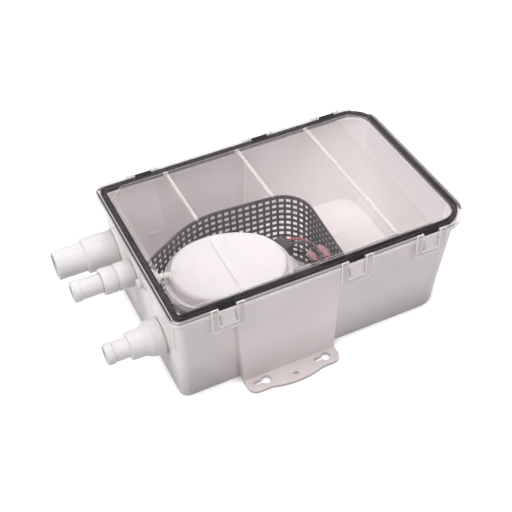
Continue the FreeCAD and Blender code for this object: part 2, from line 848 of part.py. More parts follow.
def pump_cover():
    """Domed cover: rounded top, sloping sides, a ledge with a raised bead at its edge."""
    ledge_top = cover_base + ledge_thickness
    dome = Part.makeLoft([pump_oval(dome_lean, ledge_top - 0.5), pump_oval(0, pump_top)], True, True)
    top_edges = [edge for edge in dome.Edges if abs(edge.BoundBox.ZMin - pump_top) < 0.01]
    dome = dome.makeFillet(dome_rounding, top_edges)
    cover = oval_block(ledge, cover_base, ledge_top).fuse(dome)
    bead = oval_block(ledge, ledge_top - 0.5, ledge_top + rim_bead_height)
    bead = bead.cut(oval_block(ledge - rim_bead, ledge_top - 1, ledge_top + 3))
    cover = cover.fuse(bead)
    end = Vector(*cable_route[-1])
    boss_start = Vector(end.x + 4.0 - cable_boss_length, end.y, end.z - 1.2)
    cover = cover.fuse(rod(cable_boss_radius, boss_start, Vector(end.x + 4.0, end.y, end.z - 1.2)))
    cover = cover.cut(oval_block(-cover_shell, cover_base - 1, pump_top - cover_shell))
    cover = cover.cut(bent_rod(cable_route, (cable_bend_radius,), cable_radius))
    return cover.removeSplitter()


def motor_can():
    place = pump_point(motor_u, 0, 0)
    low = deck_top + bell_thickness
    can = upright(motor_radius, place.x, place.y, low, motor_top)
    can = can.cut(upright(motor_radius - motor_shell, place.x, place.y, low - 1, motor_top - motor_shell))
    return can


def motor_end_bell():
    """Plate between the deck and the can, with the lower bearing's seat."""
    place = pump_point(motor_u, 0, 0)
    low = deck_top
    high = deck_top + bell_thickness
    bell = upright(motor_radius, place.x, place.y, low, high)
    return bell.cut(upright(bearing_radius, place.x, place.y, low - 1, high + 1))


def motor_bearings():
    """Lower bush in the end bell and upper bush under the can's top."""
    place = pump_point(motor_u, 0, 0)
    bushes = []
    for low in (deck_top, motor_top - motor_shell - bearing_thickness):
        thickness = bell_thickness if low == deck_top else bearing_thickness
        bush = upright(bearing_radius, place.x, place.y, low, low + thickness)
        bushes.append(bush.cut(upright(shaft_radius + running_gap, place.x, place.y, low - 1, low + 9)))
    return Part.makeCompound(bushes)


def motor_armature():
    """Armature stack on the shaft, which reaches down through the seal into the impeller."""
    place = pump_point(motor_u, 0, 0)
    shaft = upright(shaft_radius, place.x, place.y, impeller_bottom, motor_top - motor_shell - 0.3)
    stack = upright(armature_radius, place.x, place.y, armature_bottom, armature_top)
    return shaft.fuse(stack)


def shaft_seal():
    place = pump_point(motor_u, 0, 0)
    low = deck_top - seal_thickness
    seal = upright(seal_radius, place.x, place.y, low, deck_top)
    return seal.cut(upright(shaft_radius + running_gap, place.x, place.y, low - 1, deck_top + 1))


def impeller():
    """Hub, top shroud and backward-swept vanes."""
    place = pump_point(motor_u, 0, 0)
    wheel = upright(impeller_hub, place.x, place.y, impeller_bottom, impeller_top)
    shroud = upright(impeller_radius, place.x, place.y, impeller_top - impeller_shroud, impeller_top)
    wheel = wheel.fuse(shroud)
    sweep = math.radians(38.0)
    for index in range(impeller_vanes):
        base = 2.0 * math.pi * index / impeller_vanes
        centre_line = []
        for share in (0.0, 0.5, 1.0):
            reach = impeller_hub - 0.8 + share * (impeller_radius - impeller_hub + 0.8)
            centre_line.append((reach, base + sweep * share ** 1.5))
        sides = []
        for shift in (-vane_thickness / 2, vane_thickness / 2):
            side = []
            for reach, angle in centre_line:
                turn = angle + shift / max(reach, 1.0)
                side.append(Vector(place.x + reach * math.cos(turn), place.y + reach * math.sin(turn), impeller_bottom))
            sides.append(side)
        edges = [
            Part.Arc(*sides[0]).toShape(),
            Part.LineSegment(sides[0][2], sides[1][2]).toShape(),
            Part.Arc(*sides[1][::-1]).toShape(),
            Part.LineSegment(sides[1][0], sides[0][0]).toShape(),
        ]
        wheel = wheel.fuse(prism(Part.Wire(edges), impeller_top - impeller_bottom - 1.0))
    return wheel.cut(upright(shaft_radius, place.x, place.y, impeller_bottom - 1, impeller_top + 1))


def pump_float():
    """Float with its stem, which works the switch as the water rises."""
    place = pump_point(float_u, 0, 0)
    body = upright(float_radius, place.x, place.y, float_bottom, float_bottom + float_height)
    rims = [edge for edge in body.Edges if edge.Length > 2 * float_radius * 3.0]
    body = body.makeChamfer(1.5, rims)
    stem = upright(stem_radius, place.x, place.y, float_bottom + float_height - 1, float_roof + float_tube + 1.5)
    return body.fuse(stem)


def float_switch():
    """Sealed switch on the float tube's roof, beside the stem."""
    length, width, height = switch_size
    seat = float_roof + float_tube
    switch = Part.makeBox(length, width, height, Vector(-length / 2, switch_offset - width / 2, seat))
    switch.rotate(Vector(0, 0, 0), Vector(0, 0, 1), pump_turn)
    place = pump_point(float_u, 0, 0)
    switch.translate(Vector(place.x, place.y, 0))
    return switch


def tail_profile(x_root, x_tip, radius):
    """Outline points of a hose tail: a plain stretch from its root and one barb at its tip."""
    step_x = x_tip + barb_length
    return [
        (x_root, radius),
        (step_x, radius),
        (step_x - 1.0, radius + barb_rise),
        (x_tip + 2.5, radius + barb_rise),
        (x_tip, radius - 0.4),
    ]


def hex_nut(radius, hole, x_start, thickness, y, z):
    """Six-sided nut along X."""
    points = []
    for index in range(6):
        angle = math.radians(60.0 * index)
        points.append(Vector(x_start, y + radius * math.cos(angle), z + radius * math.sin(angle)))
    nut = Part.Face(Part.makePolygon(points + points[:1])).extrude(Vector(thickness, 0, 0))
    return nut.cut(bored(x_start + thickness + 1, x_start - 1, hole, y, z))


def washer(outer, inner, y, z):
    """Rubber washer between the end wall's boss and a fitting's flange."""
    face_x = fitting_end_x - boss_proud
    ring = bored(face_x, face_x - washer_thickness, outer, y, z)
    return ring.cut(bored(face_x + 1, face_x - washer_thickness - 1, inner, y, z))


def flange_x():
    """x of every fitting's flange against its washer."""
    return fitting_end_x - boss_proud - washer_thickness


def outlet_valve_body():
    seat_x = flange_x() - 3.5
    outer = turned(
        (
            (inner_barb_end_x, 0),
            (inner_barb_end_x, nozzle_neck - 0.4),
            (shank_end_x + 4.0, nozzle_neck),
            (shank_end_x, nozzle_neck),
            (shank_end_x, outlet_shank_radius),
            (flange_x(), outlet_shank_radius),
            (flange_x(), outlet_flange_radius),
            (seat_x, outlet_flange_radius),
            (seat_x, outlet_body_radius),
            (outlet_split_x, outlet_body_radius),
            (outlet_split_x, 0),
        ),
        outlet_y,
        outlet_z,
    )
    body = outer.cut(bored(inner_barb_end_x + 1, outlet_split_x - 1, outlet_bore - 1.0, outlet_y, outlet_z))
    return body.cut(bored(seat_x, outlet_split_x - 1, outlet_chamber, outlet_y, outlet_z))


def outlet_tail():
    """Cone, stage and hose tail outside the valve."""
    outline = [
        (outlet_split_x, 0),
        (outlet_split_x, outlet_body_radius),
        (outlet_cone_x, stage_radius),
        (outlet_stage_x, stage_radius - 0.3),
    ]
    outline += tail_profile(outlet_stage_x, outlet_tip_x, tail_radius)
    outline.append((outlet_tip_x, 0))
    tail = turned(outline, outlet_y, outlet_z)
    tail = tail.cut(bored(outlet_split_x + 1, outlet_tip_x - 1, tail_bore, outlet_y, outlet_z))
    tail = tail.cut(bored(outlet_split_x + 1, outlet_stage_x + 2.0, stage_radius - 2.6, outlet_y, outlet_z))
    throat = Part.makeCone(
        outlet_chamber, stage_radius - 2.6, outlet_split_x - outlet_cone_x,
        Vector(outlet_split_x, outlet_y, outlet_z), Vector(-1, 0, 0),
    )
    return tail.cut(throat)


def flap(radius, seat_x, side, y, z):
    """Round rubber flap with a hinge ear on top; side is the way it opens along X."""
    near = seat_x + side * flap_lift
    far = near + side * flap_thickness
    disc = bored(max(near, far), min(near, far), radius, y, z)
    pin_z = z + radius + flap_ear - 0.4
    pin = rod(flap_ear / 2, Vector((near + far) / 2, y - flap_ear_half, pin_z),
              Vector((near + far) / 2, y + flap_ear_half, pin_z))
    web = block(min(near, far), max(near, far), y - flap_ear_half, y + flap_ear_half, z + radius - 2.5,
                pin_z)
    return disc.fuse(web).fuse(pin).removeSplitter()


def outlet_flap():
    return flap(outlet_flap_radius, flange_x() - 3.5, -1, outlet_y, outlet_z)


def middle_inlet_body():
    """Body that screws into its boss, because the screen passes close behind it."""
    middle_shank_end = fitting_end_x + boss_inside - 0.3
    outer = turned(
        (
            (middle_shank_end, 0),
            (middle_shank_end, middle_shank_radius),
            (flange_x(), middle_shank_radius),
            (flange_x(), middle_body_radius),
            (middle_body_end, middle_body_radius),
            (middle_body_end, middle_body_radius - 1.5),
            (middle_groove_end, middle_body_radius - 1.5),
            (middle_groove_end, collar_radius - 2.2),
            (middle_groove_end - 3.2, collar_radius - 2.2),
            (middle_groove_end - 3.2, 0),
        ),
        middle_y,
        middle_z,
    )
    body = outer.cut(bored(middle_shank_end + 1, middle_groove_end - 5, middle_bore, middle_y, middle_z))
    seat_x = middle_body_end + 3.0
    return body.cut(bored(flange_x() - 1.5, seat_x, middle_chamber, middle_y, middle_z))


def middle_inlet_collar():
    """Union nut that holds the tail's flange against the body."""
    face = middle_groove_end
    inner = collar_radius - 2.1
    shoulder = collar_end_x + 4.0
    ring = turned(
        (
            (face, inner),
            (face, collar_radius),
            (collar_end_x + 0.8, collar_radius),
            (collar_end_x, collar_radius - 0.8),
            (collar_end_x, tail_radius - 0.5),
            (shoulder, tail_radius - 0.5),
            (shoulder, inner),
        ),
        middle_y,
        middle_z,
    )
    return ring


def middle_inlet_tail():
    """Flange inside the collar and the hose tail."""
    flange = middle_groove_end - 3.3
    shoulder = collar_end_x + 4.0
    neck = tail_radius - 0.8
    outline = [
        (flange, 0),
        (flange, collar_radius - 2.3),
        (shoulder + 0.1, collar_radius - 2.3),
        (shoulder + 0.1, neck),
        (collar_end_x - 0.5, neck),
    ]
    outline += tail_profile(collar_end_x - 0.5, middle_tip_x, tail_radius)
    outline.append((middle_tip_x, 0))
    tail = turned(outline, middle_y, middle_z)
    return tail.cut(bored(flange + 1, middle_tip_x - 1, middle_bore, middle_y, middle_z))


def middle_inlet_flap():
    return flap(middle_flap_radius, middle_body_end + 3.0, 1, middle_y, middle_z)


def back_inlet_adapter():
    """Stepped adapter in one piece: a large and a small hose tail."""
    outline = [
        (shank_end_x, 0),
        (shank_end_x, back_shank_radius),
        (flange_x(), back_shank_radius),
        (flange_x(), back_large_radius),
        (back_step_x + 1.0, back_large_radius),
        (back_step_x, back_large_radius - 1.0),
    ]
    outline += [
        (back_step_x, back_small_radius),
        (back_tip_x + 0.8, back_small_radius),
        (back_tip_x, back_small_radius - 0.8),
        (back_tip_x, 0),
    ]
    adapter = turned(outline, back_y, back_z)
    return adapter.cut(bored(shank_end_x + 1, back_tip_x - 1, back_bore, back_y, back_z))


def inner_nut(shank_radius, y, z):
    """Nut that clamps a fitting from inside the tank."""
    start = fitting_end_x + boss_inside
    return hex_nut(shank_radius + 5.2, shank_radius + nut_gap, start, nut_thickness, y, z)


def cable_gland():
    body = turned(
        (
            (fitting_end_x + boss_inside + 4.0, 0),
            (fitting_end_x + boss_inside + 4.0, gland_shank),
            (fitting_end_x - boss_proud, gland_shank),
            (fitting_end_x - boss_proud, gland_radius),
            (gland_tip_x + 1.2, gland_radius),
            (gland_tip_x, gland_radius - 1.2),
            (gland_tip_x, 0),
        ),
        gland_y,
        gland_z,
    )
    return body.cut(bored(fitting_end_x + boss_inside + 5, gland_tip_x - 1, cable_radius, gland_y, gland_z))


def cable_gland_nut():
    """Domed nut inside the end wall that grips the cable."""
    start = fitting_end_x + boss_inside
    body = turned(
        (
            (start, 0),
            (start, gland_nut_radius),
            (gland_nut_end_x - 3.0, gland_nut_radius),
            (gland_nut_end_x, gland_nut_radius - 2.5),
            (gland_nut_end_x, 0),
        ),
        gland_y,
        gland_z,
    )
    body = body.cut(bored(start + 4.0, start - 1, gland_shank + nut_gap, gland_y, gland_z))
    return body.cut(bored(gland_nut_end_x + 1, start, cable_radius, gland_y, gland_z))


def bent_rod(points, radii, radius):
    """Round rod along straight runs joined by bends of the given radii."""
    knots = [Vector(*point) for point in points]
    pieces = []
    run_start = knots[0]
    for index, bend in enumerate(radii):
        before, corner, after = knots[index : index + 3]
        incoming = (corner - before).normalize()
        outgoing = (after - corner).normalize()
        turn = incoming.getAngle(outgoing)
        reach = bend * math.tan(turn / 2)
        start = corner - incoming * reach
        centre = corner + (outgoing - incoming).normalize() * (bend / math.cos(turn / 2))
        disc = Part.Face(Part.Wire(Part.makeCircle(radius, start, incoming)))
        pieces.append(rod(radius, run_start, start))
        pieces.append(disc.revolve(centre, incoming.cross(outgoing), math.degrees(turn)))
        run_start = corner + outgoing * reach
    pieces.append(rod(radius, run_start, knots[-1]))
    return pieces[0].multiFuse(pieces[1:]).removeSplitter()


def natural_bends(points):
    """Arc radii of a free route: as large as the two runs at each corner allow."""
    knots = [Vector(*point) for point in points]
    radii = []
    for before, corner, after in zip(knots, knots[1:], knots[2:]):
        shorter = min((corner - before).Length, (after - corner).Length)
        half_turn = (corner - before).getAngle(after - corner) / 2
        radii.append(0.45 * shorter / math.tan(half_turn))
    return radii


def pump_cable():
    return bent_rod(cable_route, (cable_bend_radius,), cable_radius)


def discharge_hose():
    """Rubber hose with an S bend from the nozzle up to the outlet fitting."""
    low_x, high_x = hose_corners_x
    route = (
        (hose_start_x, nozzle_y, nozzle_z),
        (low_x, nozzle_y, nozzle_z),
        (high_x, outlet_y, outlet_z),
        (hose_end_x, outlet_y, outlet_z),
    )
    bends = (hose_bend_radius, hose_bend_radius)
    return bent_rod(route, bends, hose_radius).cut(bent_rod(route, bends, hose_bore))


def hose_clamps():
    """Band and screw housing on each end of the hose."""
    clamps = []
    places = (
        (hose_start_x - clamp_inset - clamp_width, nozzle_y, nozzle_z),
        (hose_end_x + clamp_inset, outlet_y, outlet_z),
    )
    for x, y, z in places:
        band = bored(x + clamp_width, x, hose_radius + clamp_thickness, y, z)
        housing = block(x + 0.5, x + clamp_width - 0.5, y - 4.5, y + 4.5, z, z + hose_radius + clamp_thickness + 2.8)
        band = band.fuse(housing).cut(bored(x + clamp_width + 1, x - 1, hose_radius, y, z))
        clamps.append(band)
    return Part.makeCompound(clamps)


# Leads, from the pump's end and its middle line: each leaves the strain relief, loops beside the
# pump and comes back to a splice sleeve
lead_routes = {
    "red_wire": ((12.5, 18.0, 65.5), (20.0, 18.0, 65.5), (28.5, 13.0, 68.0), (35.5, 1.0, 70.0),
                 (36.5, -13.0, 70.5), (31.5, -26.0, 70.0), (23.5, -31.2, 69.0), (15.7, -31.2, 68.5)),
    "brown_wire": ((12.5, 14.0, 62.0), (19.0, 14.0, 62.0), (26.5, 9.0, 63.5), (31.5, -1.0, 64.5),
                   (32.0, -12.0, 65.0), (29.0, -22.0, 65.0), (24.0, -25.0, 64.5), (18.8, -25.0, 64.2)),
    "black_wire": ((12.5, 9.5, 59.5), (17.5, 9.5, 59.5), (23.5, 5.0, 59.5), (27.5, -3.0, 59.5),
                   (28.5, -10.5, 59.5), (27.5, -16.0, 59.5), (25.0, -18.5, 59.5), (21.2, -18.5, 59.5)),
}


def lead_points(name):
    """Corner points of a lead's route in the frame."""
    return [(pump_end_x + x, pump_y + y, z) for x, y, z in lead_routes[name]]


def lead_strain_relief():
    """Rubber block on the pump's side that the leads come out of."""
    length, width, height = relief_size
    x, y, z = relief_corner
    grip = Part.makeBox(length, width, height, Vector(x, y, z))
    corners = [edge for edge in grip.Edges if abs(edge.CenterOfMass.x - x - length) < 0.01]
    grip = grip.makeFillet(2.0, corners)
    grip = grip.cut(oval_block(ledge, z - 1, z + height + 1))
    for name in lead_routes:
        start = Vector(*lead_points(name)[0])
        grip = grip.cut(rod(wire_radius + wire_gap, start, start + Vector(length, 0, 0)))
    return grip


def lead(name):
    points = lead_points(name)
    return bent_rod(points, natural_bends(points), wire_radius)


def splice_sleeves():
    """Clear crimp sleeves on the ends of the three leads."""
    sleeves = []
    for name in lead_routes:
        before, end = (Vector(*point) for point in lead_points(name)[-2:])
        along = (end - before).normalize()
        sleeves.append(rod(sleeve_radius, end, end + along * sleeve_length))
    return Part.makeCompound(sleeves)


def build():
    """Every piece by its node name."""
    pieces = {
        "sump_box": sump_box(),
        "lid": lid(),
        "lid_gasket": lid_gasket(),
        "filter_screen": filter_screen(),
        "pump_strainer": pump_strainer(),
        "strainer_screws": strainer_screws(),
        "pump_housing": pump_housing(),
        "pump_cover": pump_cover(),
        "motor_can": motor_can(),
        "motor_end_bell": motor_end_bell(),
        "motor_bearings": motor_bearings(),
        "motor_armature": motor_armature(),
        "shaft_seal": shaft_seal(),
        "impeller": impeller(),
        "pump_float": pump_float(),
        "float_switch": float_switch(),
        "outlet_valve_body": outlet_valve_body(),
        "outlet_tail": outlet_tail(),
        "outlet_flap": outlet_flap(),
        "outlet_nut": inner_nut(outlet_shank_radius, outlet_y, outlet_z),
        "outlet_seal": washer(outlet_flange_radius - 1.5, outlet_shank_radius + hole_gap, outlet_y, outlet_z),
        "middle_inlet_body": middle_inlet_body(),
        "middle_inlet_collar": middle_inlet_collar(),
        "middle_inlet_tail": middle_inlet_tail(),
        "middle_inlet_flap": middle_inlet_flap(),
        "middle_inlet_seal": washer(middle_body_radius - 0.5, middle_shank_radius + hole_gap, middle_y, middle_z),
        "back_inlet_adapter": back_inlet_adapter(),
        "back_inlet_nut": inner_nut(back_shank_radius, back_y, back_z),
        "back_inlet_seal": washer(back_large_radius - 0.5, back_shank_radius + hole_gap, back_y, back_z),
        "cable_gland": cable_gland(),
        "cable_gland_nut": cable_gland_nut(),
        "pump_cable": pump_cable(),
        "discharge_hose": discharge_hose(),
        "hose_clamps": hose_clamps(),
        "lead_strain_relief": lead_strain_relief(),
        "splice_sleeves": splice_sleeves(),
    }
    for name in lead_routes:
        pieces[name] = lead(name)
    for place, x in clip_places.items():
        clip = front_clip(x)
        pieces["front_clip_" + place] = clip
        pieces["back_clip_" + place] = mirrored_to_back(clip)
    return pieces


os.makedirs("parts", exist_ok=True)
for node, shape in build().items():
    shape.exportStep("parts/" + node + ".step")
    print(node, "solids", len(shape.Solids), "valid", shape.isValid(), "volume", round(shape.Volume, 1))
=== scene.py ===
import math

import bmesh
import bpy
from bpy.props import FloatProperty, FloatVectorProperty, PointerProperty
from mathutils import Matrix, Vector


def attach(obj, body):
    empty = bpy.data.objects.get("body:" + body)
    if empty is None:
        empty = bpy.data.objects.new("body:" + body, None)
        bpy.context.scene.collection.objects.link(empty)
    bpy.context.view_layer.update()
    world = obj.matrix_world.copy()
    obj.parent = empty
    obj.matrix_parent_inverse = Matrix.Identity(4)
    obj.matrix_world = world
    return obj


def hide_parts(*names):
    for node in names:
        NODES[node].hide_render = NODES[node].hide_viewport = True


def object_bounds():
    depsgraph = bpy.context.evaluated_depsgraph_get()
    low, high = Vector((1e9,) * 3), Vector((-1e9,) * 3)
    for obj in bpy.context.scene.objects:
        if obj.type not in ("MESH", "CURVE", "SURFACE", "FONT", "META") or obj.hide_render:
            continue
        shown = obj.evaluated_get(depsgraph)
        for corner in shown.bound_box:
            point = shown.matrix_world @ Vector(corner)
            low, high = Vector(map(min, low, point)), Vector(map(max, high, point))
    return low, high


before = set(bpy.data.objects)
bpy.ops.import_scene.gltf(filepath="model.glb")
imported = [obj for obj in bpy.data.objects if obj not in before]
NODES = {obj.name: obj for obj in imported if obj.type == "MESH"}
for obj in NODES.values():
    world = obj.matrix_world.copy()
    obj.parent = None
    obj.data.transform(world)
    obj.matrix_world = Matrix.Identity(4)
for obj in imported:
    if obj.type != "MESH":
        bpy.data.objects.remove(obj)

bl_info = {
    "name": "Shower Sump Pump",
    "version": (1, 0, 0),
    "blender": (4, 5, 0),
    "location": "3D View > Sidebar > Sump Pump",
    "description": "Finishes for a shower sump pump in a clear-lidded tank",
    "category": "Object",
}

CAD_LOW, CAD_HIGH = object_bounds()
MM = 0.001

# Camera: where the photographer stood in metres, the way the view looks and the way its right side points
CAMERA_PLACE = Vector((-0.3155, -0.6545, 0.7297))
CAMERA_FORWARD = Vector((0.29352, 0.66364, -0.68806))
CAMERA_RIGHT = Vector((0.90181, -0.43102, -0.03103))
CAMERA_LENS = 71.32
CAMERA_SENSOR = 36.0
CAMERA_REACH = 50.0

# Floor: its reach from the middle in metres, its place under the feet, the grey that the light falls on,
# the white that the camera sees, and how near to the object that white gives way to a painted contact
# shadow
FLOOR_REACH = 6.0
FLOOR_DROP = 0.2 * MM
FLOOR_GREY = 0.32
FLOOR_WHITE = 1.15
FLOOR_SHADE_REACH = 12.0 * MM
FLOOR_SHADE_SAMPLES = 8

# Light: the surroundings' strength, the point that the lamps look at, and each lamp's name, place, width
# and power in watts
SURROUNDING_LIGHT = 0.08
LAMP_TARGET = Vector((0.0, 0.0, 0.05))
LAMPS = (
    ("over", (0.0, 0.0, 1.7), 1.0, 11.5),
    ("front", (0.0, -1.4, 1.1), 1.2, 12.3),
    ("left", (-1.4, 0.0, 1.1), 1.2, 18.5),
    ("back", (0.2, 1.4, 1.1), 1.2, 9.5),
    ("right", (1.4, 0.0, 1.1), 1.2, 14.5),
)

# Tank: how far out its feet begin and how high they reach, how far from the middle the plane of an outside
# face lies at least, for the painted shade on its outside and feet, and the height below which that painted
# shade deepens
FOOT_START = 99.0 * MM
FOOT_TOP = 20.0 * MM
OUTSIDE_START = 50.0 * MM
BASE_SHADE_TOP = 45.0 * MM

# Lid's skirt: its inside along X and Y, the height up to which it is milky white as painted highlight and
# the stretch that this fades over, and the height up to which it is dark as painted shadow of the gap
# beneath it
SKIRT_INSIDE = (146.5 * MM, 98.5 * MM)
SKIRT_HIGHLIGHT_TOP = 110.4 * MM
SKIRT_HIGHLIGHT_FADE = 1.0 * MM
SKIRT_SHADE_TOP = 108.1 * MM

# Lid's locating rib: its outside and its inside along X and Y, and X plus Y at its inside across a corner
LOCATING_RIB_OUTSIDE = (139.5 * MM, 91.2 * MM)
LOCATING_RIB_INSIDE = (136.5 * MM, 88.3 * MM)
LOCATING_RIB_CORNER = 212.0 * MM

# Lid's cross ribs: each one's place along X with the Y that its painted highlight starts at, how far that
# highlight reaches to each side of that place and the stretch that it sets in over
CROSS_RIBS = ((-79.0 * MM, 10.0 * MM), (-2.0 * MM, 8.0 * MM), (74.6 * MM, -90.0 * MM))
RIB_HIGHLIGHT_REACH = 2.2 * MM
RIB_HIGHLIGHT_FADE = 6.0 * MM

# Lid's milkiness, from 0 for clear to 1: all over, on the skirt as painted highlight and on the skirt's
# dark line of painted shadow, and on the ribs' faces and their rounded edges as painted highlight
LID_MILK = 0.004
SKIRT_HIGHLIGHT = 0.6
SKIRT_SHADE = 0.9
RIB_FACE_HIGHLIGHT = {"locating rib": 0.12, "cross ribs": 0.4}
RIB_EDGE_HIGHLIGHT = {"locating rib": 0.35, "cross ribs": 1.0}

# Clear pieces: how square a face is to an axis, from 0 to 1, where it counts as broad and as a cut side,
# and the gloss that grazing views add
BROAD_FACE = 0.9
CUT_SIDE = 0.35
GLEAM_BLEND = 0.12
GLEAM = 0.08

# Gasket where the clips' windows bare it: their places along X, their width, and the lip's Y, Z, rounding
# and share of the gasket's colour, which darkens it as painted shade
CLIP_PLACES = (-99.2 * MM, 26.4 * MM, 103.5 * MM)
CLIP_WINDOW = 16.6 * MM
GASKET_LIP_Y = (94.9 * MM, 100.2 * MM)
GASKET_LIP_Z = (106.25 * MM, 111.3 * MM)
GASKET_LIP_EDGE = 0.3 * MM
GASKET_LIP_SHADE = 0.15

# Leads: their radius, and the points of each route in millimetres, out of the strain relief and round to
# the splice sleeve
LEAD_RADIUS = 1.3 * MM
LEAD_ROUTES = {
    "red_wire": (
        (1.5, -8.0, 65.5), (9.0, -8.5, 66.0), (17.5, -12.0, 65.5), (22.5, -21.0, 65.5),
        (25.0, -31.0, 67.0), (28.0, -40.0, 68.5), (27.0, -49.0, 68.5), (20.0, -55.5, 69.0),
        (12.5, -57.2, 69.0), (4.7, -57.2, 68.5),
    ),
    "brown_wire": (
        (1.5, -12.0, 62.0), (6.5, -13.0, 64.0), (12.5, -16.5, 67.0), (19.0, -22.5, 69.5),
        (23.0, -32.0, 70.0), (23.5, -41.0, 66.0), (18.5, -48.5, 64.0), (12.5, -51.0, 64.0),
        (7.8, -51.0, 64.2),
    ),
    "black_wire": (
        (1.5, -16.5, 59.5), (6.5, -18.0, 58.5), (10.5, -24.0, 59.5), (13.0, -31.0, 64.5),
        (15.5, -36.5, 66.0), (18.0, -42.0, 63.0), (14.0, -44.5, 59.5), (10.2, -44.5, 59.5),
    ),
}

# Shrink tubing on two of the leads: its radius, the share of that at its open ends, its number of sides,
# and its first and last place along the lead as shares of the lead's length
TUBING_RADIUS = 3.6 * MM
TUBING_END = 0.8
TUBING_SIDES = 28
TUBING_REACH = {"red_wire": (0.46, 0.72), "black_wire": (0.48, 0.80)}

# Rounding of carried-over parts: the gap that is welded, and the turn between two faces up to which they
# count as flat and from which they count as an edge
WELD_GAP = 0.005 * MM
FLAT_TURN = math.radians(0.4)
EDGE_TURN = math.radians(32.0)

# Most values of a noise pattern lie between these
NOISE_LOW = 0.3
NOISE_HIGH = 0.7

CLIPS = [side + "_clip_" + place for side in ("front", "back") for place in ("left", "middle", "right")]


def colour_property(name, description, default):
    return FloatVectorProperty(
        name=name,
        description=description,
        subtype="COLOR",
        size=3,
        min=0.0,
        max=1.0,
        default=default,
    )


def length_property(name, description, default):
    return FloatProperty(
        name=name,
        description=description,
        subtype="DISTANCE",
        unit="LENGTH",
        min=0.0,
        precision=5,
        default=default,
    )


class SumpColours(bpy.types.PropertyGroup):
    tank: colour_property("Tank", "Moulded tank plastic", (0.94, 0.895, 0.90))
    # Painted highlight: the tank's rounded edges are given a lighter colour than the tank
    tank_edge_highlight: colour_property("Tank edges", "Moulded edges that catch the light", (0.98, 0.94, 0.94))
    # Painted shade: the next two tints darken the tank's outside and feet, and darken them more towards the
    # base
    outside: colour_property("Tank outside", "Tint over the tank's outside", (0.92, 0.88, 0.882))
    base: colour_property("Tank base", "Further tint towards the tank's base", (0.74, 0.725, 0.725))
    clear: colour_property("Clear plastic", "Lid and clips", (0.988, 0.982, 0.982))
    # Milky plastic serves as the clear plastic's own haze and as painted highlight on the lid's skirt and
    # ribs and on the clips
    milk_and_highlight: colour_property("Milky plastic", "Clear plastic where it turns milky", (0.93, 0.89, 0.89))
    # Painted shadow: the skirt's dark line stands for the shade in the gap beneath the lid's skirt
    skirt_gap_shade: colour_property("Skirt line", "Tint of the skirt's dark line", (0.12, 0.11, 0.115))
    gasket: colour_property("Gasket", "Charcoal seal under the lid", (0.032, 0.026, 0.030))
    screen: colour_property("Screen", "Slate grey filter screen", (0.10, 0.095, 0.105))
    pump: colour_property("Pump", "White pump plastic", (0.77, 0.745, 0.765))
    fitting: colour_property("Fittings", "White fitting plastic", (0.71, 0.69, 0.685))
    washer: colour_property("Washers", "Pale washers behind the flanges", (0.62, 0.585, 0.58))
    rubber: colour_property("Rubber", "Hose and flaps", (0.022, 0.021, 0.022))
    relief: colour_property("Strain relief", "Grey rubber grip", (0.07, 0.065, 0.075))
    steel: colour_property("Steel", "Stainless parts", (0.60, 0.60, 0.61))
    bronze: colour_property("Bronze", "Sintered bushes", (0.55, 0.35, 0.17))
    impeller: colour_property("Impeller", "Dark impeller plastic", (0.05, 0.05, 0.055))
    pump_float: colour_property("Float", "Cream float plastic", (0.72, 0.69, 0.58))
    switch: colour_property("Switch", "Black switch plastic", (0.025, 0.025, 0.03))
    red: colour_property("Red lead", "Red wire insulation", (0.42, 0.13, 0.15))
    brown: colour_property("Brown lead", "Brown wire insulation", (0.15, 0.125, 0.13))
    black: colour_property("Black lead", "Black wire insulation", (0.03, 0.027, 0.03))
    tubing: colour_property("Shrink tubing", "Pink tubing seen through", (0.86, 0.60, 0.61))
    tubing_milk: colour_property("Milky tubing", "Pink tubing's own skin", (0.86, 0.52, 0.54))
    sleeve: colour_property("Splice sleeves", "Clear pink sleeves", (0.95, 0.75, 0.72))
    cable: colour_property("Cable", "Pale cable sheath", (0.70, 0.68, 0.65))


class SumpSizes(bpy.types.PropertyGroup):
    moulded_edge: length_property("Moulded edge", "Rounding of the tank's edges", 0.6 * MM)
    lid_edge: length_property("Lid edge", "Rounding of the lid's and the gasket's edges", 0.5 * MM)
    clip_edge: length_property("Clip edge", "Rounding of the clips' edges", 1.0 * MM)
    fine_edge: length_property("Fine edge", "Rounding of small pieces", 0.3 * MM)


def tree_of(name):
    """New material and its emptied node tree, with an output node."""
    material = bpy.data.materials.new(name)
    material.use_nodes = True
    tree = material.node_tree
    tree.nodes.clear()
    output = tree.nodes.new("ShaderNodeOutputMaterial")
    return material, tree, output


def add_noise(tree, scale, detail=3.0, roughness=0.5, stretch=None):
    """Noise on the piece's own coordinates; stretch scales the pattern per axis."""
    place = tree.nodes.new("ShaderNodeTexCoord")
    source = place.outputs["Object"]
    if stretch:
        mapping = tree.nodes.new("ShaderNodeMapping")
        mapping.inputs["Scale"].default_value = stretch
        tree.links.new(source, mapping.inputs["Vector"])
        source = mapping.outputs["Vector"]
    noise = tree.nodes.new("ShaderNodeTexNoise")
    noise.inputs["Scale"].default_value = scale
    noise.inputs["Detail"].default_value = detail
    noise.inputs["Roughness"].default_value = roughness
    tree.links.new(source, noise.inputs["Vector"])
    return noise.outputs["Fac"]


def add_math(tree, operation, first, second=None, third=None):
    """Math node on sockets or plain numbers."""
    node = tree.nodes.new("ShaderNodeMath")
    node.operation = operation
    for index, value in enumerate((first, second, third)):
        if isinstance(value, bpy.types.NodeSocket):
            tree.links.new(value, node.inputs[index])
        elif value is not None:
            node.inputs[index].default_value = value
    return node.outputs[0]


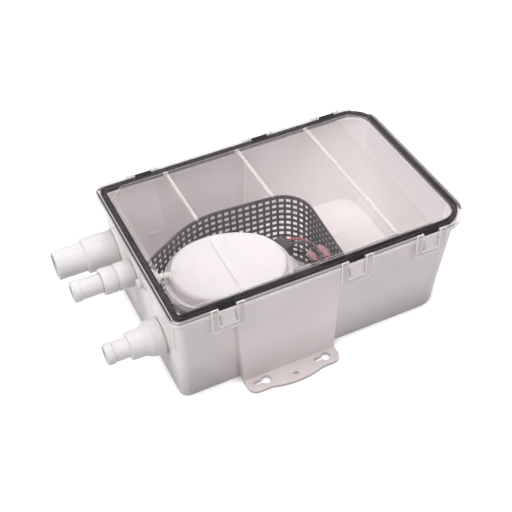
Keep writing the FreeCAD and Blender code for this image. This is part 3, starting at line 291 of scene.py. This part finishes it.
def add_spread(tree, value, start, end, low=0.0, high=1.0):
    """Value turned to low at the start and high at the end, and held beyond them."""
    spread = tree.nodes.new("ShaderNodeMapRange")
    spread.inputs["From Min"].default_value = start
    spread.inputs["From Max"].default_value = end
    spread.inputs["To Min"].default_value = low
    spread.inputs["To Max"].default_value = high
    tree.links.new(value, spread.inputs["Value"])
    return spread.outputs["Result"]


def add_tints(tree, noise, colour, drift):
    """Colour that drifts a little lighter and darker with the noise."""
    ramp = tree.nodes.new("ShaderNodeValToRGB")
    dark, light = ramp.color_ramp.elements
    dark.position = NOISE_LOW
    light.position = NOISE_HIGH
    dark.color = [c * (1.0 - drift) for c in colour] + [1.0]
    light.color = [min(1.0, c * (1.0 + drift)) for c in colour] + [1.0]
    tree.links.new(noise, ramp.inputs["Fac"])
    return ramp.outputs["Color"]


def add_gloss(tree, noise, smooth, rough):
    """Roughness that drifts between two values with the noise."""
    return add_spread(tree, noise, NOISE_LOW, NOISE_HIGH, smooth, rough)


def add_bump(tree, height, strength, distance):
    """Surface relief from a height."""
    bump = tree.nodes.new("ShaderNodeBump")
    bump.inputs["Strength"].default_value = strength
    bump.inputs["Distance"].default_value = distance
    tree.links.new(height, bump.inputs["Height"])
    return bump.outputs["Normal"]


def add_split(tree, kind):
    """X, Y and Z of the piece's own coordinates or normals."""
    place = tree.nodes.new("ShaderNodeTexCoord")
    split = tree.nodes.new("ShaderNodeSeparateXYZ")
    tree.links.new(place.outputs[kind], split.inputs["Vector"])
    return split.outputs


def add_tests(tree, operation, values, limits):
    """Compares how far each value lies from the middle with its limit."""
    return [
        add_math(tree, operation, add_math(tree, "ABSOLUTE", value), limit)
        for value, limit in zip(values, limits)
    ]


def add_shade(tree, shader, amount, colour):
    """Multiplies a shader's colour by another, by the given amount."""
    mixed = tree.nodes.new("ShaderNodeMix")
    mixed.data_type = "RGBA"
    mixed.blend_type = "MULTIPLY"
    # For colours, socket 0 is the amount, 6 and 7 are what is mixed, and 2 is the outcome
    tree.links.new(amount, mixed.inputs[0])
    tree.links.new(shader.inputs["Base Color"].links[0].from_socket, mixed.inputs[6])
    mixed.inputs[7].default_value = list(colour) + [1.0]
    tree.links.new(mixed.outputs[2], shader.inputs["Base Color"])


def join_finish(tree, shader, output, tints, gloss, relief):
    """Joins a finish's colour, roughness and relief to its shader, and the shader to the output."""
    tree.links.new(tints, shader.inputs["Base Color"])
    tree.links.new(gloss, shader.inputs["Roughness"])
    tree.links.new(relief, shader.inputs["Normal"])
    tree.links.new(shader.outputs["BSDF"], output.inputs["Surface"])


def moulded_plastic(name, colour, roughness, drift=0.03, grain=0.25, glow=0.0):
    """Moulded plastic: a faint drift of colour and gloss, with a fine spark-eroded grain."""
    material, tree, output = tree_of(name)
    shader = tree.nodes.new("ShaderNodeBsdfPrincipled")
    shader.inputs["IOR"].default_value = 1.5
    shader.inputs["Specular IOR Level"].default_value = 0.45
    if glow:
        shader.inputs["Subsurface Weight"].default_value = glow
        shader.inputs["Subsurface Radius"].default_value = (4.0 * MM, 3.4 * MM, 3.2 * MM)
        shader.inputs["Subsurface Scale"].default_value = 0.6
    tints = add_tints(tree, add_noise(tree, 22.0), colour, drift)
    smear = add_noise(tree, 75.0, detail=4.0)
    gloss = add_gloss(tree, smear, roughness - 0.05, roughness + 0.07)
    relief = add_bump(tree, add_noise(tree, 2400.0, detail=2.0), grain, 0.04 * MM)
    join_finish(tree, shader, output, tints, gloss, relief)
    return material


def soft_rubber(name, colour, roughness=0.55):
    """Rubber: dull, with a fine bloom and grain."""
    material, tree, output = tree_of(name)
    shader = tree.nodes.new("ShaderNodeBsdfPrincipled")
    shader.inputs["Specular IOR Level"].default_value = 0.35
    tints = add_tints(tree, add_noise(tree, 160.0, detail=5.0), colour, 0.18)
    gloss = add_gloss(tree, add_noise(tree, 90.0), roughness - 0.08, roughness + 0.1)
    relief = add_bump(tree, add_noise(tree, 1800.0), 0.3, 0.05 * MM)
    join_finish(tree, shader, output, tints, gloss, relief)
    return material


def worked_metal(name, colour, roughness, stretch):
    """Metal with fine drawn or turned lines along one axis."""
    material, tree, output = tree_of(name)
    shader = tree.nodes.new("ShaderNodeBsdfPrincipled")
    shader.inputs["Metallic"].default_value = 1.0
    tints = add_tints(tree, add_noise(tree, 30.0), colour, 0.06)
    lines = add_noise(tree, 900.0, detail=4.0, stretch=stretch)
    gloss = add_gloss(tree, lines, roughness - 0.06, roughness + 0.1)
    relief = add_bump(tree, lines, 0.15, 0.03 * MM)
    join_finish(tree, shader, output, tints, gloss, relief)
    return material


def paint_outside_shade(material, outside_shade_tint, base_shade_tint):
    """Tank's outside and feet: painted shade as a darker, warmer tint than inside, deepening towards the
    base.
    """
    tree = material.node_tree
    shader = next(node for node in tree.nodes if node.type == "BSDF_PRINCIPLED")
    x, y, z = add_split(tree, "Object")
    facing = add_split(tree, "Normal")
    outward_x = add_math(tree, "MULTIPLY", x, facing["X"])
    outward_y = add_math(tree, "MULTIPLY", y, facing["Y"])
    outward = add_math(tree, "ADD", outward_x, outward_y)
    wall = add_math(tree, "GREATER_THAN", outward, OUTSIDE_START)
    beyond = add_math(tree, "GREATER_THAN", add_math(tree, "ABSOLUTE", y), FOOT_START)
    foot = add_math(tree, "MULTIPLY", beyond, add_math(tree, "LESS_THAN", z, FOOT_TOP))
    outside = add_math(tree, "MAXIMUM", wall, foot)
    add_shade(tree, shader, outside, outside_shade_tint)
    base_shade = add_math(tree, "MULTIPLY", outside, add_spread(tree, z, BASE_SHADE_TOP, 0.0))
    add_shade(tree, shader, base_shade, base_shade_tint)
    return material


def add_haze_and_highlight(tree, output, colour, milk_and_highlight, share):
    """Joins a straight view through with a milky skin by the given share, and returns the skin's shader;
    the skin serves as the plastic's own haze and as painted highlight.
    """
    through = tree.nodes.new("ShaderNodeBsdfTransparent")
    through.inputs["Color"].default_value = list(colour) + [1.0]
    skin = tree.nodes.new("ShaderNodeBsdfPrincipled")
    skin.inputs["IOR"].default_value = 1.46
    tree.links.new(add_tints(tree, add_noise(tree, 18.0), milk_and_highlight, 0.03), skin.inputs["Base Color"])
    smear = add_noise(tree, 40.0, detail=4.0)
    tree.links.new(add_gloss(tree, smear, 0.08, 0.14), skin.inputs["Roughness"])
    grazing = tree.nodes.new("ShaderNodeLayerWeight")
    grazing.inputs["Blend"].default_value = GLEAM_BLEND
    gleam = add_math(tree, "MULTIPLY", grazing.outputs["Facing"], GLEAM)
    mixed = tree.nodes.new("ShaderNodeMixShader")
    tree.links.new(add_math(tree, "ADD", gleam, share), mixed.inputs["Fac"])
    tree.links.new(through.outputs["BSDF"], mixed.inputs[1])
    tree.links.new(skin.outputs["BSDF"], mixed.inputs[2])
    tree.links.new(mixed.outputs["Shader"], output.inputs["Surface"])
    return skin


def clear_plastic(name, colour, milk_and_highlight, face, side):
    """Clear moulding with one milkiness on broad faces, which look along Y, and one on its cut sides."""
    material, tree, output = tree_of(name)
    square = add_math(tree, "ABSOLUTE", add_split(tree, "Normal")["Y"])
    cut = add_spread(tree, square, BROAD_FACE, CUT_SIDE)
    share = add_math(tree, "MULTIPLY_ADD", cut, side - face, face)
    add_haze_and_highlight(tree, output, colour, milk_and_highlight, share)
    return material


def lid_plastic(name, colour, milk_and_highlight, skirt_gap_shade, on_edges):
    """Clear lid: milky white low on the skirt and on the ribs as painted highlight, and dark at the skirt's
    foot as painted shadow.
    """
    material, tree, output = tree_of(name)
    shares = RIB_EDGE_HIGHLIGHT if on_edges else RIB_FACE_HIGHLIGHT
    x, y, z = add_split(tree, "Object")

    on_skirt = add_math(tree, "MAXIMUM", *add_tests(tree, "GREATER_THAN", (x, y), SKIRT_INSIDE))
    # Painted shadow: the skirt's lowest band is darkened as the shade in the gap beneath it
    dark = add_math(tree, "MULTIPLY", on_skirt, add_math(tree, "LESS_THAN", z, SKIRT_SHADE_TOP))
    # Painted highlight: the skirt turns milky white towards its foot
    skirt = add_math(tree, "MULTIPLY", on_skirt, SKIRT_HIGHLIGHT)
    low = add_spread(tree, z, SKIRT_HIGHLIGHT_TOP + SKIRT_HIGHLIGHT_FADE, SKIRT_HIGHLIGHT_TOP)
    skirt = add_math(tree, "MULTIPLY", skirt, low)

    # Painted highlight: the locating rib is made milky white
    within = add_math(tree, "MINIMUM", *add_tests(tree, "LESS_THAN", (x, y), LOCATING_RIB_OUTSIDE))
    beyond = add_math(tree, "MAXIMUM", *add_tests(tree, "GREATER_THAN", (x, y), LOCATING_RIB_INSIDE))
    across = add_math(tree, "ADD", add_math(tree, "ABSOLUTE", x), add_math(tree, "ABSOLUTE", y))
    corner = add_math(tree, "GREATER_THAN", across, LOCATING_RIB_CORNER)
    locating_rib = add_math(tree, "MINIMUM", within, add_math(tree, "MAXIMUM", beyond, corner))
    locating_rib = add_math(tree, "MULTIPLY", locating_rib, shares["locating rib"])
    share = add_math(tree, "MAXIMUM", skirt, locating_rib)

    # Painted highlight: each cross rib turns milky white from its start towards the back
    for place, start in CROSS_RIBS:
        cross_rib = add_math(tree, "COMPARE", x, place, RIB_HIGHLIGHT_REACH)
        rib_highlight = add_math(tree, "MULTIPLY", cross_rib, add_spread(tree, y, start, start + RIB_HIGHLIGHT_FADE))
        rib_highlight = add_math(tree, "MULTIPLY", rib_highlight, shares["cross ribs"])
        share = add_math(tree, "MAXIMUM", share, rib_highlight)
    if not on_edges:
        flatness = add_math(tree, "ABSOLUTE", add_split(tree, "Normal")["Z"])
        share = add_math(tree, "MULTIPLY", share, add_spread(tree, flatness, BROAD_FACE, CUT_SIDE))

    share = add_math(tree, "MAXIMUM", share, add_math(tree, "MULTIPLY", dark, SKIRT_SHADE))
    skin = add_haze_and_highlight(tree, output, colour, milk_and_highlight, add_math(tree, "ADD", share, LID_MILK))
    add_shade(tree, skin, dark, skirt_gap_shade)
    return material


def dress(node, material, edge=0.0, segments=2, edge_material=None):
    """Gives a carried-over part its finish, welds its shading and rounds its edges."""
    piece = NODES[node]
    piece.data.materials.clear()
    piece.data.materials.append(material)
    if edge_material:
        piece.data.materials.append(edge_material)
    for face in piece.data.polygons:
        face.use_smooth = edge > 0.0
    if edge > 0.0:
        weld = piece.modifiers.new("weld", "WELD")
        weld.merge_threshold = WELD_GAP
        flat = piece.modifiers.new("flat", "DECIMATE")
        flat.decimate_type = "DISSOLVE"
        flat.angle_limit = FLAT_TURN
        rounding = piece.modifiers.new("rounding", "BEVEL")
        rounding.width = edge
        rounding.segments = segments
        rounding.limit_method = "ANGLE"
        rounding.angle_limit = EDGE_TURN
        rounding.harden_normals = True
        rounding.use_clamp_overlap = True
        rounding.material = 1 if edge_material else -1


def add_piece(name, mesh_maker, material, body):
    """New piece from a bmesh, riding on a body."""
    shape = bmesh.new()
    mesh_maker(shape)
    mesh = bpy.data.meshes.new(name)
    shape.to_mesh(mesh)
    shape.free()
    mesh.materials.append(material)
    piece = bpy.data.objects.new(name, mesh)
    bpy.context.scene.collection.objects.link(piece)
    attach(piece, body)
    return piece


def add_block(shape, low, high, rounding):
    """Block between two corners with rounded edges."""
    made = bmesh.ops.create_cube(shape, size=1.0)["verts"]
    bmesh.ops.scale(shape, verts=made, vec=high - low)
    bmesh.ops.translate(shape, verts=made, vec=(high + low) / 2.0)
    edges = list({edge for vert in made for edge in vert.link_edges})
    bmesh.ops.bevel(
        shape, geom=edges, offset=rounding, segments=2, affect="EDGES", profile=0.5, material=-1
    )


def gasket_lips(shape):
    """Outer edge of the gasket where the lid is cut away between each clip's legs."""
    for x in CLIP_PLACES:
        for side in (-1.0, 1.0):
            near, far = sorted(side * y for y in GASKET_LIP_Y)
            low = Vector((x - CLIP_WINDOW / 2.0, near, GASKET_LIP_Z[0]))
            high = Vector((x + CLIP_WINDOW / 2.0, far, GASKET_LIP_Z[1]))
            add_block(shape, low, high, GASKET_LIP_EDGE)


def add_lead(name, material):
    """Lead as one smooth line through its route, in place of its plain solid."""
    line = bpy.data.curves.new(name + "_lead", "CURVE")
    line.dimensions = "3D"
    line.bevel_depth = LEAD_RADIUS
    line.bevel_resolution = 5
    line.resolution_u = 10
    line.use_fill_caps = True
    spline = line.splines.new("NURBS")
    route = [Vector(point) * MM for point in LEAD_ROUTES[name]]
    spline.points.add(len(route) - 1)
    for point, place in zip(spline.points, route):
        point.co = (*place, 1.0)
    spline.order_u = 3
    spline.use_endpoint_u = True
    line.materials.append(material)
    lead = bpy.data.objects.new(name + "_lead", line)
    bpy.context.scene.collection.objects.link(lead)
    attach(lead, "base")
    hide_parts(name)
    return lead


def line_points(lead):
    """Points along a lead's smooth line, read from a copy of it with no thickness."""
    thin = lead.data.copy()
    thin.bevel_depth = 0.0
    probe = bpy.data.objects.new("probe", thin)
    mesh = bpy.data.meshes.new_from_object(probe)
    points = [vert.co.copy() for vert in mesh.vertices]
    bpy.data.objects.remove(probe)
    bpy.data.curves.remove(thin)
    bpy.data.meshes.remove(mesh)
    return points


def lead_tubing(lead, reach):
    """Mesh maker for an open tube round part of a lead's line."""
    points = line_points(lead)
    first, last = (int(share * (len(points) - 1)) for share in reach)

    def make(shape):
        previous = None
        for index in range(first, last + 1):
            along = (points[index + 1] - points[index - 1]).normalized()
            turn = along.to_track_quat("Z", "Y").to_matrix().to_4x4()
            at_end = index in (first, last)
            made = bmesh.ops.create_circle(
                shape,
                segments=TUBING_SIDES,
                radius=TUBING_RADIUS * (TUBING_END if at_end else 1.0),
                matrix=Matrix.Translation(points[index]) @ turn,
            )
            ring = list({edge for vert in made["verts"] for edge in vert.link_edges})
            if previous:
                bmesh.ops.bridge_loops(shape, edges=previous + ring)
            previous = ring
        for face in shape.faces:
            face.smooth = True

    return make


def add_camera(scene):
    """Camera at the photographer's place, with its sides made square to the view."""
    back = -CAMERA_FORWARD.normalized()
    up = back.cross(CAMERA_RIGHT.normalized()).normalized()
    right = up.cross(back)
    turn = Matrix((right, up, back)).transposed().to_4x4()
    camera = bpy.data.cameras.new("camera")
    camera.lens = CAMERA_LENS
    camera.sensor_width = CAMERA_SENSOR
    camera.clip_end = CAMERA_REACH
    holder = bpy.data.objects.new("camera", camera)
    holder.matrix_world = Matrix.Translation(CAMERA_PLACE) @ turn
    scene.collection.objects.link(holder)
    scene.camera = holder


def floor_white():
    """Floor: pale grey to the light, white where it is seen or mirrored, and darker close to the object as
    a painted contact shadow.
    """
    material, tree, output = tree_of("floor_white")
    paint = tree.nodes.new("ShaderNodeBsdfDiffuse")
    paint.inputs["Color"].default_value = (FLOOR_GREY, FLOOR_GREY, FLOOR_GREY, 1.0)
    rays = tree.nodes.new("ShaderNodeLightPath").outputs
    seen = add_math(tree, "MAXIMUM", rays["Is Camera Ray"], rays["Is Glossy Ray"])
    seen = add_math(tree, "MAXIMUM", seen, rays["Is Transmission Ray"])
    # Painted contact shadow: the floor's white fades close to the object
    contact_shade = tree.nodes.new("ShaderNodeAmbientOcclusion")
    contact_shade.samples = FLOOR_SHADE_SAMPLES
    contact_shade.inputs["Distance"].default_value = FLOOR_SHADE_REACH
    strength = add_math(tree, "MULTIPLY", seen, FLOOR_WHITE)
    strength = add_math(tree, "MULTIPLY", strength, contact_shade.outputs["AO"])
    lift = tree.nodes.new("ShaderNodeEmission")
    tree.links.new(strength, lift.inputs["Strength"])
    both = tree.nodes.new("ShaderNodeAddShader")
    tree.links.new(paint.outputs["BSDF"], both.inputs[0])
    tree.links.new(lift.outputs["Emission"], both.inputs[1])
    tree.links.new(both.outputs["Shader"], output.inputs["Surface"])
    return material


def add_floor(scene):
    """White floor that the tank stands on."""
    sheet = bmesh.new()
    bmesh.ops.create_grid(sheet, x_segments=1, y_segments=1, size=FLOOR_REACH)
    bmesh.ops.translate(sheet, verts=sheet.verts, vec=(0.0, 0.0, CAD_LOW[2] - FLOOR_DROP))
    mesh = bpy.data.meshes.new("floor")
    sheet.to_mesh(mesh)
    sheet.free()
    mesh.materials.append(floor_white())
    floor = bpy.data.objects.new("floor", mesh)
    scene.collection.objects.link(floor)


def add_background(tree, strength):
    """White surrounding light."""
    light = tree.nodes.new("ShaderNodeBackground")
    light.inputs["Color"].default_value = (1.0, 1.0, 1.0, 1.0)
    light.inputs["Strength"].default_value = strength
    return light.outputs["Background"]


def studio_world():
    """Surroundings: a soft light, and white where they are seen."""
    world = bpy.data.worlds.new("studio")
    world.use_nodes = True
    tree = world.node_tree
    tree.nodes.clear()
    output = tree.nodes.new("ShaderNodeOutputWorld")
    rays = tree.nodes.new("ShaderNodeLightPath").outputs
    seen = add_math(tree, "MAXIMUM", rays["Is Camera Ray"], rays["Is Transmission Ray"])
    mixed = tree.nodes.new("ShaderNodeMixShader")
    tree.links.new(seen, mixed.inputs["Fac"])
    tree.links.new(add_background(tree, SURROUNDING_LIGHT), mixed.inputs[1])
    tree.links.new(add_background(tree, 1.0), mixed.inputs[2])
    tree.links.new(mixed.outputs["Shader"], output.inputs["Surface"])
    return world


def add_lamp(scene, name, place, width, power):
    """Soft square lamp that looks at the object."""
    lamp = bpy.data.lights.new(name, "AREA")
    lamp.shape = "SQUARE"
    lamp.size = width
    lamp.energy = power
    holder = bpy.data.objects.new(name, lamp)
    holder.location = place
    holder.rotation_euler = (LAMP_TARGET - Vector(place)).to_track_quat("-Z", "Y").to_euler()
    scene.collection.objects.link(holder)


class SUMP_OT_tank(bpy.types.Operator):
    """Tank with its feet, catches and guide ribs"""
    bl_idname = "sump.tank"
    bl_label = "Tank"

    def execute(self, context):
        colours, sizes = context.scene.sump_colours, context.scene.sump_sizes
        plastic = moulded_plastic("tank_plastic", colours.tank, 0.42, glow=0.06)
        # Painted highlight: the rounded edges take a lighter material than the tank
        edge_highlight = moulded_plastic("tank_highlit_edges", colours.tank_edge_highlight, 0.3)
        # Painted shade: both materials are darkened on the tank's outside and feet, more so towards the
        # base
        for material in (plastic, edge_highlight):
            paint_outside_shade(material, colours.outside, colours.base)
        dress("sump_box", plastic, sizes.moulded_edge, edge_material=edge_highlight)
        return {"FINISHED"}


class SUMP_OT_lid(bpy.types.Operator):
    """Clear lid, its gasket and the six clip loops"""
    bl_idname = "sump.lid"
    bl_label = "Lid, Gasket and Clips"

    def execute(self, context):
        colours, sizes = context.scene.sump_colours, context.scene.sump_sizes
        # The lid's milky skirt, ribs and rounded edges are painted highlight, and its skirt's dark foot is
        # painted shadow
        lid_edge = lid_plastic("lid_edge", (1.0, 1.0, 1.0), colours.milk_and_highlight, colours.skirt_gap_shade, True)
        lid_clear = lid_plastic("lid_clear", colours.clear, colours.milk_and_highlight, colours.skirt_gap_shade, False)
        dress("lid", lid_clear, sizes.lid_edge, 3, lid_edge)
        # Painted highlight: the clips' milkiness, strongest on their cut sides and rounded edges
        clip_clear = clear_plastic("clip_clear", colours.clear, colours.milk_and_highlight, face=0.2, side=0.65)
        clip_edge = clear_plastic("clip_edge", colours.clear, colours.milk_and_highlight, face=0.75, side=0.8)
        for name in CLIPS:
            dress(name, clip_clear, sizes.clip_edge, 2, clip_edge)
        dress("lid_gasket", soft_rubber("gasket_rubber", colours.gasket), sizes.lid_edge)
        # Painted shade: the bared gasket lips are a darker copy of the gasket rubber
        lip_shade_rubber = soft_rubber("gasket_painted_shade", [c * GASKET_LIP_SHADE for c in colours.gasket], 0.8)
        lips = add_piece("gasket_lips", gasket_lips, lip_shade_rubber, "lid_body")
        return {"FINISHED"}


class SUMP_OT_screen(bpy.types.Operator):
    """Curved mesh filter screen"""
    bl_idname = "sump.screen"
    bl_label = "Filter Screen"

    def execute(self, context):
        colours = context.scene.sump_colours
        dress("filter_screen", moulded_plastic("screen_plastic", colours.screen, 0.45, drift=0.08))
        return {"FINISHED"}


class SUMP_OT_pump(bpy.types.Operator):
    """Pump cover, housing, strainer and cable"""
    bl_idname = "sump.pump"
    bl_label = "Pump"

    def execute(self, context):
        colours, sizes = context.scene.sump_colours, context.scene.sump_sizes
        white = moulded_plastic("pump_plastic", colours.pump, 0.3, grain=0.15, glow=0.08)
        for name in ("pump_cover", "pump_housing", "pump_strainer"):
            dress(name, white, sizes.fine_edge)
        dress("pump_cable", soft_rubber("cable_sheath", colours.cable, 0.45), sizes.fine_edge)
        return {"FINISHED"}


class SUMP_OT_works(bpy.types.Operator):
    """Motor, impeller, float, switch, hose and clamps"""
    bl_idname = "sump.works"
    bl_label = "Inner Works and Hose"

    def execute(self, context):
        colours, sizes = context.scene.sump_colours, context.scene.sump_sizes
        steel = worked_metal("drawn_steel", colours.steel, 0.3, (1.0, 1.0, 12.0))
        bronze = worked_metal("sintered_bronze", colours.bronze, 0.45, (1.0, 1.0, 1.0))
        rubber = soft_rubber("black_rubber", colours.rubber)
        washer = soft_rubber("pale_silicone", colours.washer)
        impeller = moulded_plastic("impeller_plastic", colours.impeller, 0.4)
        pump_float = moulded_plastic("float_plastic", colours.pump_float, 0.5)
        switch = moulded_plastic("switch_plastic", colours.switch, 0.4)
        finishes = (
            (steel, ("motor_can", "motor_end_bell", "motor_armature", "strainer_screws", "hose_clamps")),
            (bronze, ("motor_bearings",)),
            (rubber, ("shaft_seal", "discharge_hose", "outlet_flap", "middle_inlet_flap")),
            (washer, ("outlet_seal", "middle_inlet_seal", "back_inlet_seal")),
            (impeller, ("impeller",)),
            (pump_float, ("pump_float",)),
            (switch, ("float_switch",)),
        )
        for material, names in finishes:
            for name in names:
                dress(name, material, sizes.fine_edge)
        return {"FINISHED"}


class SUMP_OT_fittings(bpy.types.Operator):
    """Hose tails, valve bodies, nuts and the cable gland"""
    bl_idname = "sump.fittings"
    bl_label = "Fittings"

    def execute(self, context):
        colours, sizes = context.scene.sump_colours, context.scene.sump_sizes
        white = moulded_plastic("fitting_plastic", colours.fitting, 0.34, grain=0.15, glow=0.08)
        for name in (
            "outlet_valve_body",
            "outlet_tail",
            "outlet_nut",
            "middle_inlet_body",
            "middle_inlet_collar",
            "middle_inlet_tail",
            "back_inlet_adapter",
            "back_inlet_nut",
            "cable_gland",
            "cable_gland_nut",
        ):
            dress(name, white, sizes.fine_edge)
        return {"FINISHED"}


class SUMP_OT_leads(bpy.types.Operator):
    """Three leads, their sleeves and the strain relief"""
    bl_idname = "sump.leads"
    bl_label = "Leads"

    def execute(self, context):
        colours, sizes = context.scene.sump_colours, context.scene.sump_sizes
        finishes = (
            ("red_wire", colours.red, "red_insulation"),
            ("brown_wire", colours.brown, "brown_insulation"),
            ("black_wire", colours.black, "black_insulation"),
        )
        pink = clear_plastic("shrink_tubing", colours.tubing, colours.tubing_milk, face=0.5, side=0.5)
        for name, colour, slot in finishes:
            lead = add_lead(name, soft_rubber(name + "_insulation", colour, 0.4))
            if name in TUBING_REACH:
                tubing = add_piece(name + "_tubing", lead_tubing(lead, TUBING_REACH[name]), pink, "base")
        dress("lead_strain_relief", soft_rubber("grey_rubber", colours.relief, 0.5), sizes.fine_edge)
        sleeve = clear_plastic("clear_sleeve", colours.sleeve, colours.milk_and_highlight, face=0.3, side=0.4)
        dress("splice_sleeves", sleeve, sizes.fine_edge)
        return {"FINISHED"}


class SUMP_OT_stage(bpy.types.Operator):
    """Camera, floor, lamps and surrounding light"""
    bl_idname = "sump.stage"
    bl_label = "Stage"

    def execute(self, context):
        scene = context.scene
        add_camera(scene)
        add_floor(scene)
        scene.world = studio_world()
        for name, place, width, power in LAMPS:
            add_lamp(scene, name, place, width, power)
        scene.view_settings.view_transform = "Standard"
        return {"FINISHED"}


class SUMP_PT_panel(bpy.types.Panel):
    """Lists the pieces and the stage"""
    bl_idname = "SUMP_PT_panel"
    bl_label = "Shower Sump Pump"
    bl_space_type = "VIEW_3D"
    bl_region_type = "UI"
    bl_category = "Sump Pump"

    def draw(self, context):
        layout = self.layout
        for operator in OPERATORS:
            layout.operator(operator.bl_idname)
        for group in (context.scene.sump_colours, context.scene.sump_sizes):
            box = layout.box()
            for name in group.bl_rna.properties.keys():
                if name not in ("rna_type", "name"):
                    box.prop(group, name)


OPERATORS = (
    SUMP_OT_tank,
    SUMP_OT_lid,
    SUMP_OT_screen,
    SUMP_OT_pump,
    SUMP_OT_works,
    SUMP_OT_fittings,
    SUMP_OT_leads,
    SUMP_OT_stage,
)
CLASSES = (SumpColours, SumpSizes) + OPERATORS + (SUMP_PT_panel,)


def register():
    for cls in CLASSES:
        bpy.utils.register_class(cls)
    bpy.types.Scene.sump_colours = PointerProperty(type=SumpColours)
    bpy.types.Scene.sump_sizes = PointerProperty(type=SumpSizes)


def unregister():
    del bpy.types.Scene.sump_sizes
    del bpy.types.Scene.sump_colours
    for cls in reversed(CLASSES):
        bpy.utils.unregister_class(cls)


def main():
    register()
    bpy.ops.sump.tank()
    bpy.ops.sump.lid()
    bpy.ops.sump.screen()
    bpy.ops.sump.pump()
    bpy.ops.sump.works()
    bpy.ops.sump.fittings()
    bpy.ops.sump.leads()
    bpy.ops.sump.stage()


if __name__ == "__main__":
    main()
